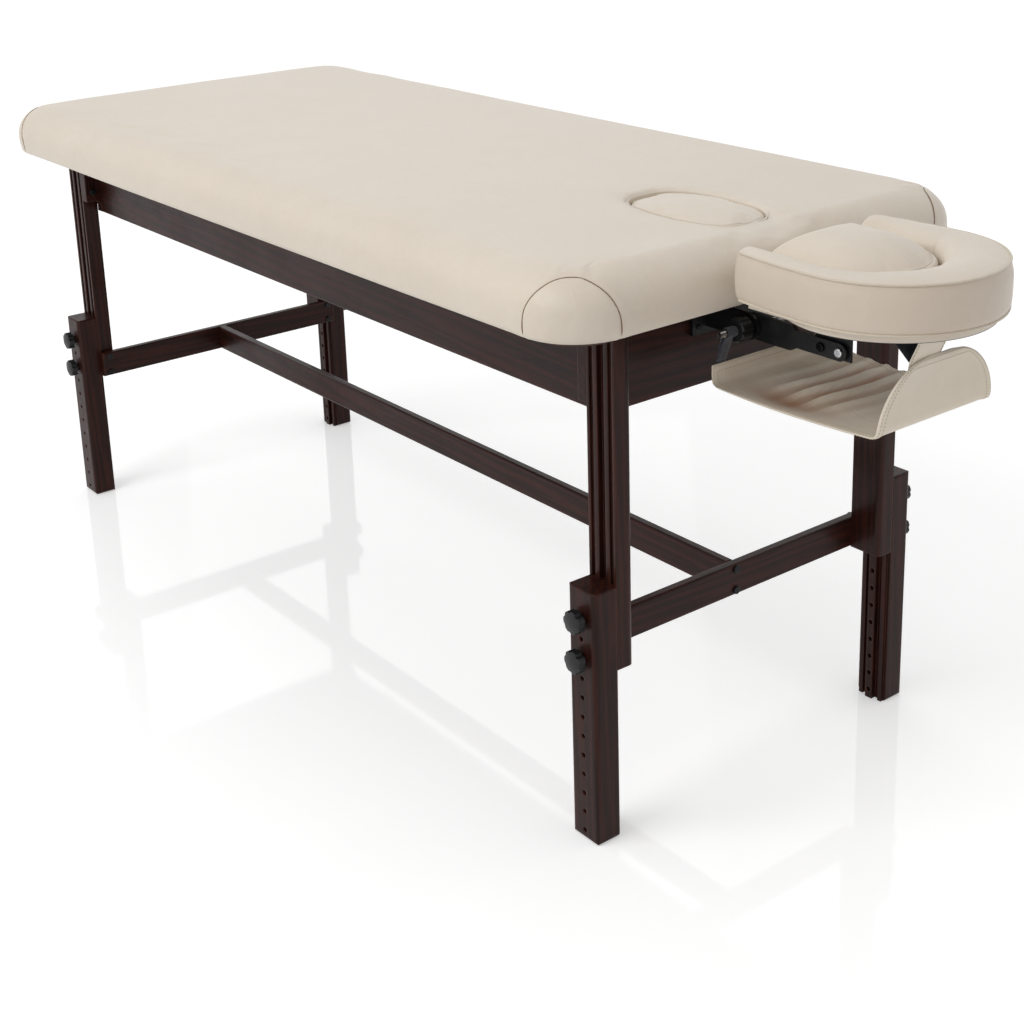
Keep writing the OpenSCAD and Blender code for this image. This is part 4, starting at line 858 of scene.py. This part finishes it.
def makePlug(body, outline, look, centre):
    surface = plugSurface(outline, look, centre)
    high = smooth((surface[::2, ::2, 2] - look["low"]) / look["side"])
    pins = np.zeros(high.shape)
    pins[:4], pins[4:7] = 1, 0.5
    surface = puffed(surface, pins, look["puff"], high * look["sink"])
    rows, cols = surface.shape[:2]
    normal = gridNormals(surface, True)
    toPoint = surface[..., :2] - centre
    share = np.linalg.norm(toPoint, axis=-1) / np.linalg.norm(outline - centre, axis=-1)[None]
    angle = np.arctan2(toPoint[..., 1], toPoint[..., 0]) % (2 * np.pi)

    def risen(level, wide):
        return smooth((surface[..., 2] - look["low"] - look["side"] * level) / wide)

    push = smoothNoise(surface, *plugLook["wave"]) * risen(*plugLook["waveFrom"])
    nearSeam = gauss(share - plugLook["puckerAt"], plugLook["puckerWide"]) * risen(*plugLook["puckerFrom"])
    for at, deep, wide in look["puckers"]:
        away = (angle - at + np.pi) % (2 * np.pi) - np.pi
        pleats = 1 - plugLook["pleat"] + plugLook["pleat"] * np.cos(away * 2 * np.pi / wide)
        push -= deep * gauss(away, wide) * pleats * nearSeam
    seamRow = rows - plugLook["topRows"]
    push -= plugLook["groove"] * gauss(np.arange(rows)[:, None] - seamRow, plugLook["grooveWide"])
    surface = surface + normal * push[..., None]
    surface[..., 0] += tableMid
    shown = centre + np.array([tableMid, 0])
    verts = [surface.reshape(-1, 3), [[*shown, surface[-1, :, 2].mean() + 0.0001], [*shown, look["low"]]]]
    ring, last = np.arange(cols), rows * cols
    faces = [gridFaces(rows, cols, True), fan(last - cols + ring, last), fan(ring, last + 1, True)]
    obj = meshFrom(body + "_cover", np.concatenate(verts), faces, skins["cream"])
    place(obj, body, "cushion_leather", [body])
    path = evenly(surface[seamRow] + normal[seamRow] * plugLook["pipeUp"], plugLook["pipeStep"], closed=True)
    seam = tube(body + "_seam", path, look["seam"], skins["piping"], closed=True, sides=6)
    place(seam, body, "cushion_leather")


makePlug("breath_plug", breathOutline(), breathPlug, breathMid)
makePlug("face_plug", facePlugOutline(), facePlug, faceMid)
print("plugs made")


# Face cushion: a section carried round the horseshoe, with its corners at the seams

facePad = {"straight": 28, "arc": 80, "wall": 14, "top": 30, "under": 12, "dome": 0.0085, "bulge": 0.0022,
           "innerHigh": 0.056, "outerHigh": 0.066, "seamIn": 0.004, "footIn": 0.004, "endRound": 0.009,
           "innerFoot": 0.002, "outerFoot": 0.003, "puff": {"pressure": 4.5, "frames": 18, "cap": 0.007},
           "innerBulge": 0.6, "outerBulge": 0.5, "domePower": 0.75, "footPower": 0.3, "soft": (8, 16),
           "innerShare": 0.15, "piping": 0.0016, "pipeUp": 0.0006, "pipeStep": 0.003, "groove": 0.0008,
           "grooveWide": 1.1, "pull": 0.0007, "pullPitch": 0.031, "pullSway": (1.3, 40), "pullSwell": 23,
           "pullFade": 5.0, "pullOuter": 0.6, "topFade": 4, "topWave": (0.0006, 0.09, 21),
           "sideWave": (0.0005, 0.11, 22),
           "ends": [(0.972, 0.0035), (0.90, 0.0068), (0.79, 0.0088), (0.55, 0.009), (0.25, 0.009), (0.05, 0.009)]}


def faceStations():
    # the places round the horseshoe, on its outer edge and on its inner edge
    b = (face["back"] - facePad["endRound"]) * (1 - np.linspace(0, 1, facePad["straight"], endpoint=False))
    outY = face["outer"] - face["taper"] * (b / face["back"]) ** 2
    near = [np.column_stack([face["x"] - b, y]) for y in (-outY, np.full(len(b), -face["gapR"]))]
    a = np.linspace(-np.pi / 2, np.pi / 2, facePad["arc"] + 1)
    way = np.column_stack([np.cos(a), np.sin(a)])
    lean = face["gapBack"] * np.cos(a)
    inner = np.sqrt(face["gapR"] ** 2 - face["gapBack"] ** 2 + lean ** 2) - lean
    head = np.array([face["x"], 0])
    arc = [head + way * face["outer"], head + way * inner[:, None]]
    return (np.concatenate([n, p, (n * np.array([1, -1]))[::-1]]) for n, p in zip(near, arc))


def faceSection(wide):
    # the section's points as distances across from the inner face and up from the board
    f = facePad
    foot, edge = f["footIn"], wide - f["seamIn"]
    s = np.linspace(0, 1, f["wall"], endpoint=False)
    t = np.linspace(0, 1, f["top"], endpoint=False)
    u = np.linspace(0, 1, f["under"], endpoint=False)
    section = np.concatenate([
        np.column_stack([foot - f["bulge"] * f["innerBulge"] * np.sin(s * np.pi),
                         lerp(f["innerFoot"], f["innerHigh"], s)]),
        np.column_stack([lerp(foot, edge, t), lerp(f["innerHigh"], f["outerHigh"], t)
                         + f["dome"] * np.sin(t * np.pi) ** f["domePower"]]),
        np.column_stack([edge + f["seamIn"] * smooth(s * 3) * 0.8 + f["bulge"] * f["outerBulge"] * np.sin(s * np.pi),
                         lerp(f["outerHigh"], f["outerFoot"], s)]),
        np.column_stack([lerp(wide - f["seamIn"] * 0.6, foot, u),
                         f["outerFoot"] * (1 - np.sin(u * np.pi) ** f["footPower"])])])
    # the inner top edge has no seam, so its corner is rounded
    reach, rounds = f["soft"]
    relaxed(section[f["wall"] - reach:f["wall"] + reach + 1], rounds)
    return section


def makeFaceCushion():
    f = facePad
    out, inner = faceStations()
    wide = np.linalg.norm(out - inner, axis=1) - face["gap"]
    rows = []
    for edge, way, across in zip(inner, unit(out - inner), wide):
        sec = faceSection(across)
        rows.append(np.column_stack([edge + way * (sec[:, :1] + face["gap"]), face["low"] + sec[:, 1]]))
    surface = np.stack(rows)
    # columns where the top, the outer wall and the underside begin; the leather is sewn at the last two of
    # these and at the foot of the inner wall
    top, outer, under = f["wall"], f["wall"] + f["top"], 2 * f["wall"] + f["top"]
    sewn = [0, outer, under]
    pins = np.zeros(surface[::2, ::2].shape[:2])
    for c in sewn:
        pins[:, c // 2] = 1
    pins[:, under // 2:] = 1
    share = np.ones(pins.shape[1])
    share[:top // 2 + 1] = f["innerShare"]
    surface = puffed(surface, pins, f["puff"], share=share[None, :, None])
    normal = gridNormals(surface, True)
    col = np.arange(surface.shape[1])[None]
    push = -f["groove"] * sum(gauss(col - c, f["grooveWide"]) for c in sewn)
    onTop = smooth((col - top) / f["topFade"]) * (1 - smooth((col - outer) / f["topFade"] + 1))
    onSide = (col > outer) * (col < under)
    along = lengthAlong((out + inner) / 2)
    deep, often = f["pullSway"]
    pull = np.cos(along * 2 * np.pi / f["pullPitch"] + deep * np.sin(along * often))
    pull *= 0.5 + 0.5 * np.sin(along * f["pullSwell"] + 1)
    nearSeam = np.exp(-(col - top) / f["pullFade"]) * (col >= top)
    nearSeam = nearSeam + f["pullOuter"] * np.exp((col - outer) / f["pullFade"]) * (col <= outer)
    push = push + f["pull"] * pull[:, None] * nearSeam
    push += smoothNoise(surface, *f["topWave"]) * onTop + smoothNoise(surface, *f["sideWave"]) * onSide
    surface = surface + normal * push[..., None]
    surface[..., 0] += tableMid

    def ends(ring):
        # rings that close in on their own middle while they move on outwards
        middle = ring.mean(0)
        return np.stack([middle + (ring - middle) * s - np.array([d, 0, 0]) for s, d in f["ends"]])

    whole = np.concatenate([ends(surface[0])[::-1], surface, ends(surface[-1])])
    rows, cols = whole.shape[:2]
    verts = np.concatenate([whole.reshape(-1, 3), [whole[0].mean(0), whole[-1].mean(0)]])
    ring, last = np.arange(cols), rows * cols
    faces = [gridFaces(rows, cols, True), fan(ring, last, True), fan(last - cols + ring, last + 1)]
    # the outer wall's faces take the band leather, which carries painted shade
    obj = meshFrom("face_cushion_cover", verts, faces, [skins["cream"], skins["band"]])
    column = np.arange(len(faces[0])) % cols
    onBand = (column >= outer) & (column < under)
    obj.data.polygons.foreach_set("material_index", np.concatenate([onBand, np.zeros(2 * cols)]).astype(np.int32))
    place(obj, "face_cushion", "cushion_leather", ["face_cushion"])
    for name, c in (("face_piping_top", outer), ("face_piping_low", under)):
        path = evenly(surface[:, c] + normal[:, c] * f["pipeUp"], f["pipeStep"])
        place(tube(name, path, f["piping"], skins["piping"]), "face_cushion", "cushion_leather")


makeFaceCushion()
print("face cushion made")


# Arm sling: one sheet of leather from the rear flap along the shelf and up the half-round front flap

sling = {"rearX": 0.870, "endX": 1.146, "shelfZ": 0.645, "rearHigh": 0.028, "frontHigh": 0.090, "halfRear": 0.123,
         "halfFront": 0.112, "topHalf": 0.020, "flapFrom": 0.97, "sag": 0.0085, "edgeSag": 0.004, "lean": 0.006,
         "bow": 0.0012, "thick": 0.0022, "edgeRound": 0.0022, "hem": 0.013, "hemStep": 0.003, "hemThick": 0.0011,
         "hemUp": 0.3, "rows": (0.003, 0.0105), "line": 0.0005, "lineWide": 0.0012, "across": 84, "step": 0.0032,
         "soft": 60,
         "folds": {"deep": 0.0056, "wave": 0.118, "from": 0.20, "lean": 0.05, "mid": 0.36, "reach": 0.24,
                   "near": (0.08, 0.4), "far": (0.8, 0.2, 0.7), "sway": (0.012, 7), "second": (0.28, 0.6),
                   "dark": 0.9, "shadeFrom": (0.35, 1.1)},
         "pool": {"at": (0.30, 0.17), "wide": (0.26, 0.10), "deep": 0.006, "dark": 0.8}}


def slingSurface():
    # the sheet's middle surface, the painted shade of its fold valleys and pool, and its half width at each row
    g, f, pool = sling, sling["folds"], sling["pool"]
    low, up = g["shelfZ"], g["frontHigh"]
    rear, end = g["rearX"], g["endX"]
    corners = [(rear, low + g["rearHigh"]), (rear, low), (end, low), (end + g["lean"], low + up)]
    x, z = softLine(corners, g["step"], g["soft"]).T
    along = np.clip((x - rear) / (end - rear), 0, 1)
    risen = np.clip((z - low) / up, 0, 1)
    onFlap = along > g["flapFrom"]
    arched = g["topHalf"] + (g["halfFront"] - g["topHalf"]) * np.sqrt(np.clip(1 - risen ** 2, 0, 1))
    half = np.where(onFlap, arched, lerp(g["halfRear"], g["halfFront"], along))
    a = np.linspace(-1, 1, g["across"] + 1)[None]
    shelf = (np.clip(np.sin(along * np.pi), 0, 1) * ~onFlap)[:, None]
    u, v = np.tile(along[:, None], a.shape), np.tile((a + 1) / 2, (len(x), 1))
    # folds that cross the shelf and die out towards its near edge, where the leather sinks into a pool; the fold
    # valleys and the pool are given painted shade
    (near, nearWide), (far, farWide, fade) = f["near"], f["far"]
    (sway, often), (second, late) = f["sway"], f["second"]
    spread = gauss(u - f["mid"], f["reach"]) * smooth((v - near) / nearWide)
    spread = spread * (1 - fade * smooth((v - far) / farWide)) * shelf ** 0.5
    turn = (u - f["from"] - f["lean"] * v + sway * np.sin(v * often)) * 2 * np.pi / f["wave"]
    waves = np.cos(turn) + second * np.cos(turn * 2 + late)
    sunk = gauss(u - pool["at"][0], pool["wide"][0]) * gauss(v - pool["at"][1], pool["wide"][1]) * shelf ** 0.5
    # painted shade: points low in a fold and points in the pool are darkened in the colour, as their shadow would
    # darken them
    below = smooth((f["shadeFrom"][0] - waves) / f["shadeFrom"][1])
    shade = np.clip(f["dark"] * spread * below + pool["dark"] * sunk, 0, 1) * ~onFlap[:, None]
    sag = g["sag"] * (1 - np.abs(a) ** 2.4) * shelf ** 0.8 + g["edgeSag"] * np.abs(a) ** 3 * shelf
    pz = z[:, None] - sag + f["deep"] * spread * waves - pool["deep"] * sunk
    bow = g["bow"] * (1 - a ** 2) * (np.sin(risen * np.pi) * onFlap)[:, None]
    return np.stack([x[:, None] - bow, half[:, None] * a, pz], -1), shade, half


def slingLoop(inset, rowFar, half, cols):
    # rows and columns of a line round the sheet that lies inset from its edge
    rows = np.arange(len(half))
    first, last = np.interp([inset, rowFar[-1] - inset], rowFar, rows)
    rr = np.linspace(first, last, 200)
    col = inset / np.interp(rr, rows, half) * (cols - 1) / 2
    row = np.concatenate([rr, np.full(60, last), rr[::-1], np.full(60, first)])
    end = cols - 1
    return row, np.concatenate([col, np.linspace(col[-1], end - col[-1], 60), end - col[::-1],
                                np.linspace(end - col[0], col[0], 60)])


def makeSling():
    g = sling
    top, shade, half = slingSurface()
    normal = -gridNormals(top, False)
    rowFar = lengthAlong(top[:, g["across"] // 2])
    colFar = (1 - np.abs(np.linspace(-1, 1, g["across"] + 1)))[None] * half[:, None]
    edge = np.minimum(np.minimum(rowFar[:, None], rowFar[-1] - rowFar[:, None]), colFar)
    hem = 1 - smooth((edge - g["hem"] + g["hemStep"] / 2) / g["hemStep"])
    roundEdge = np.sqrt(np.clip(edge / g["edgeRound"], 0.03, 1))
    thick = (g["thick"] + g["hemThick"] * hem) * roundEdge
    line = g["line"] * sum(gauss(edge - inset, g["lineWide"]) for inset in g["rows"])
    upper = top + normal * (g["hemThick"] * g["hemUp"] * hem * roundEdge - line)[..., None]
    lower = top - normal * (thick - line)[..., None]
    upper[..., 0] += tableMid
    lower[..., 0] += tableMid
    rows, cols = top.shape[:2]
    n = rows * cols
    border = np.concatenate([np.arange(cols), cols - 1 + cols * np.arange(1, rows), n - 2 - np.arange(cols - 1),
                             cols * np.arange(rows - 2, 0, -1)])
    nxt = np.roll(border, -1)
    flat = gridFaces(rows, cols, False)
    faces = [flat[:, ::-1], flat + n, np.stack([nxt, nxt + n, border + n, border], -1)]
    obj = meshFrom("sling_leather", np.concatenate([upper, lower]).reshape(-1, 3), faces, skins["sling"])
    # painted shade of the fold valleys and pool, kept weaker on the underside
    foldShadeAttribute = obj.data.attributes.new("shade", "FLOAT", "POINT")
    foldShadeAttribute.data.foreach_set("value", np.concatenate([shade, 0.3 * shade]).ravel().astype(np.float32))
    place(obj, "headrest", "sling_leather", ["arm_sling"])
    # two rows of stitches along the hem, on both faces
    for k, inset in enumerate(g["rows"]):
        row, col = slingLoop(inset, rowFar, half, cols)
        for label, grid, sign in (("over", upper, 1), ("under", lower, -1)):
            ways = unit(onGrid(normal, row, col, False)) * sign
            sewn = stitches(f"sling_stitches_{label}_{k + 1}", onGrid(grid, row, col, False), ways, closed=True)
            place(sewn, "headrest", "sling_leather")


makeSling()
print("sling made")


# Straps: flat bands that follow a line seen from the side

strap = {"thick": 0.0024, "frontY": (-0.058, 0.002), "lap": 0.034, "openX": 0.060, "leanX": 0.020, "boardZ": 0.770,
         "boardIn": 0.0012, "rimIn": 0.002, "lapClear": 1.3, "rimClear": 1.1, "foldClear": 0.6, "foldIn": 0.001,
         "foldEnd": 0.004, "rearWidth": 0.018, "rearIn": 0.012, "rearShare": 0.8, "rodX": 0.885, "rodZ": 0.720,
         "rodR": 0.0053, "rodHalf": 0.125, "rodFrom": 180, "rodTo": -95, "rodPoints": 26, "flapIn": 0.004,
         "tail": (0.006, 0.016), "stitchIn": 0.003, "step": 0.003}


def makeBand(name, line, y, thick, faceSkins, nodesFor, cols=10):
    # faceSkins are those of the left-hand face, the right-hand face and the edges
    n, m = len(line), 2 * (cols + 1)
    t = unit(np.gradient(line, axis=0))
    left = np.column_stack([-t[:, 1], t[:, 0]])
    s = np.linspace(0, 1, cols + 1)
    lift = thick / 2 * np.sqrt(np.clip(1 - np.abs(s * 2 - 1) ** 14, 0.04, 1))
    across = np.concatenate([s, s[::-1]])
    p = line[:, None] + left[:, None] * np.concatenate([lift, -lift[::-1]])[None, :, None]
    wide = np.tile(lerp(y[0], y[1], across), (n, 1))
    verts = np.stack([p[..., 0] + tableMid, wide, p[..., 1]], -1).reshape(-1, 3)
    ring = np.arange(m)[None]
    obj = meshFrom(name, verts, [gridFaces(n, m, True)[:, ::-1], ring, (ring + (n - 1) * m)[:, ::-1]],
                   [skins[k] for k in faceSkins])
    kinds = np.concatenate([np.tile([0] * cols + [2] + [1] * cols + [2], n - 1), [2, 2]])
    obj.data.polygons.foreach_set("material_index", kinds.astype(np.int32))
    place(obj, "headrest", "webbing", nodesFor)
    return left


def makeFrontStrap():
    g, t, y = sling, strap["thick"], strap["frontY"]
    flapTop, topX = g["shelfZ"] + g["frontHigh"], g["endX"] + g["lean"]
    lowX = g["endX"] + g["lean"] * (g["frontHigh"] - strap["lap"]) / g["frontHigh"]
    lap = np.array([lowX - g["bow"] - t * strap["lapClear"], flapTop - strap["lap"]])
    rim = np.array([topX - t * strap["rimClear"], flapTop - strap["rimIn"]])
    outer = np.array([g["endX"] + strap["leanX"], strap["boardZ"] - strap["boardIn"]])
    line = softLine([lap, rim, outer], strap["step"], 10)
    left = makeBand("front_strap_band", line, y, t, ("web", "sling", "sling"), ["front_strap"])
    p = line - left * t / 2
    for k, at in enumerate((y[0] + strap["stitchIn"], y[1] - strap["stitchIn"])):
        path = np.column_stack([p[:, 0] + tableMid, np.full(len(p), at), p[:, 1]])
        ways = np.column_stack([-left[:, 0], np.zeros(len(p)), -left[:, 1]])
        place(stitches(f"front_strap_stitches_{k + 1}", path, ways), "headrest", "webbing")
    start, end = rim - (t * strap["foldClear"], 0), outer - (strap["foldEnd"], t)
    back = softLine([start, outer - (strap["openX"], 0), end], strap["step"], 6)
    narrow = (y[0] + strap["foldIn"], y[1] - strap["foldIn"])
    makeBand("front_strap_fold", back, narrow, t, ("web",) * 3, ())


def makeRearStrap(label, sign):
    # down from the rod behind the flap on one side, and a short tail back to it on the other
    g, t = sling, strap["thick"]
    y0 = sign * (strap["rodHalf"] - strap["rearIn"])
    y1 = y0 - sign * strap["rearWidth"]
    rod, r = np.array([strap["rodX"], strap["rodZ"]]), strap["rodR"] + t * 0.5
    a = np.linspace(math.radians(strap["rodFrom"]), math.radians(strap["rodTo"]), strap["rodPoints"])
    loop = rod + r * np.column_stack([np.cos(a), np.sin(a)])
    flapX, flapTop = g["rearX"] - g["thick"], g["shelfZ"] + g["rearHigh"]
    behind = flapX - t * 0.6
    inset = strap["flapIn"]
    down = softLine([(behind, g["shelfZ"] + inset), (behind, flapTop - inset), loop[0]], strap["step"], 4)
    tail = softLine([loop[-1], rod - strap["tail"], (flapX + t * 0.5, flapTop + inset)], strap["step"], 3)
    makeBand(f"rear_strap_band_{label}", np.concatenate([down[:-1], loop, tail[1:]]), sorted((y0, y1)),
             t * strap["rearShare"], ("web",) * 3, [f"rear_strap_{label}"],
             cols=6)


makeFrontStrap()
makeRearStrap("near", -1)
makeRearStrap("far", 1)
print("straps made")


# Studio: a pale floor, a white surround and soft lights. Each light is its place, its size and its power

floorLook = {"rough": 0.05, "half": 30.0, "cells": 12, "glow": 0.36, "gloss": 0.36}
studio = {"key": ((-0.3, -3.5, 3.5), 2.6, 72.0), "fill": ((3.6, -1.2, 0.7), 1.6, 3.0),
          "top": ((0.0, 0.6, 4.2), 4.0, 16.0), "rim": ((-3.6, 2.4, 2.6), 2.4, 4.0)}
surround = {"aim": (0.0, 0.0, 0.55), "sky": 0.52}
camera = {"at": (2.270, -1.644, 1.432), "yaw": 142.78, "pitch": 17.15, "roll": 1.81, "lens": 59.804, "shift": -0.2}


def seenRays(tree):
    # 1 for rays from the camera, a reflection or glass, and 0 for those that light the object
    path = addNode(tree, "LightPath").outputs
    shown = mathNode(tree, "MAXIMUM", path["Is Glossy Ray"], path["Is Transmission Ray"])
    return mathNode(tree, "MAXIMUM", path["Is Camera Ray"], shown)


def makeFloor():
    material, tree, shader, coords = newMaterial("paleFloor")
    tone = blendNode(tree, noiseNode(tree, coords, 3.0, 2.0, 0.5), lin(250, 250, 250), lin(253, 253, 253))
    # a little light of its own, only for the rays that see it, brings the floor up to white
    wire(tree, shader, {
        "Base Color": tone, "Roughness": floorLook["rough"], "Specular IOR Level": floorLook["gloss"],
        "Emission Color": (1, 1, 1, 1),
        "Emission Strength": mathNode(tree, "MULTIPLY", seenRays(tree), floorLook["glow"])})
    side = np.linspace(-floorLook["half"], floorLook["half"], floorLook["cells"] + 1)
    x, y = np.meshgrid(side, side, indexing="xy")
    verts = np.stack([x, y, np.zeros_like(x)], -1).reshape(-1, 3)
    meshFrom("studio_floor", verts, [gridFaces(len(side), len(side), False)], material)


def addToScene(name, data, at, right, up, back):
    # an object at a place, with its own X, Y and Z axes given
    obj = bpy.data.objects.new(name, data)
    bpy.context.scene.collection.objects.link(obj)
    obj.matrix_world = Matrix([[right[i], up[i], back[i], at[i]] for i in range(3)] + [[0, 0, 0, 1]])
    return obj


def makeLights():
    for name, (at, size, power) in studio.items():
        data = bpy.data.lights.new(name, "AREA")
        data.shape, data.size, data.energy = "SQUARE", size, power
        back = unit(np.array(at) - np.array(surround["aim"]))
        right = unit(np.cross([0, 0, 1], back))
        addToScene(name, data, at, right, np.cross(back, right), back)
    world = bpy.data.worlds.new("surround")
    bpy.context.scene.world = world
    world.use_nodes = True
    tree = world.node_tree
    tree.nodes.clear()
    strength = rangeNode(tree, seenRays(tree), 0.0, 1.0, surround["sky"], 1.0)
    white = addNode(tree, "Background", {"Color": (1, 1, 1, 1), "Strength": strength}).outputs[0]
    addNode(tree, "OutputWorld", {"Surface": white})


def makeCamera():
    data = bpy.data.cameras.new("camera")
    data.lens, data.sensor_width, data.shift_y = camera["lens"], 36.0, camera["shift"]
    data.clip_start, data.clip_end = 0.05, 60
    yaw, pitch, roll = (math.radians(camera[k]) for k in ("yaw", "pitch", "roll"))
    ahead = np.array([math.cos(yaw) * math.cos(pitch), math.sin(yaw) * math.cos(pitch), -math.sin(pitch)])
    level = unit(np.cross(ahead, [0, 0, 1]))
    drop = np.cross(ahead, level)
    right = math.cos(roll) * level + math.sin(roll) * drop
    up = math.sin(roll) * level - math.cos(roll) * drop
    bpy.context.scene.camera = addToScene("camera", data, camera["at"], right, up, -ahead)


makeFloor()
makeLights()
makeCamera()
bpy.context.scene.view_settings.view_transform = "Standard"
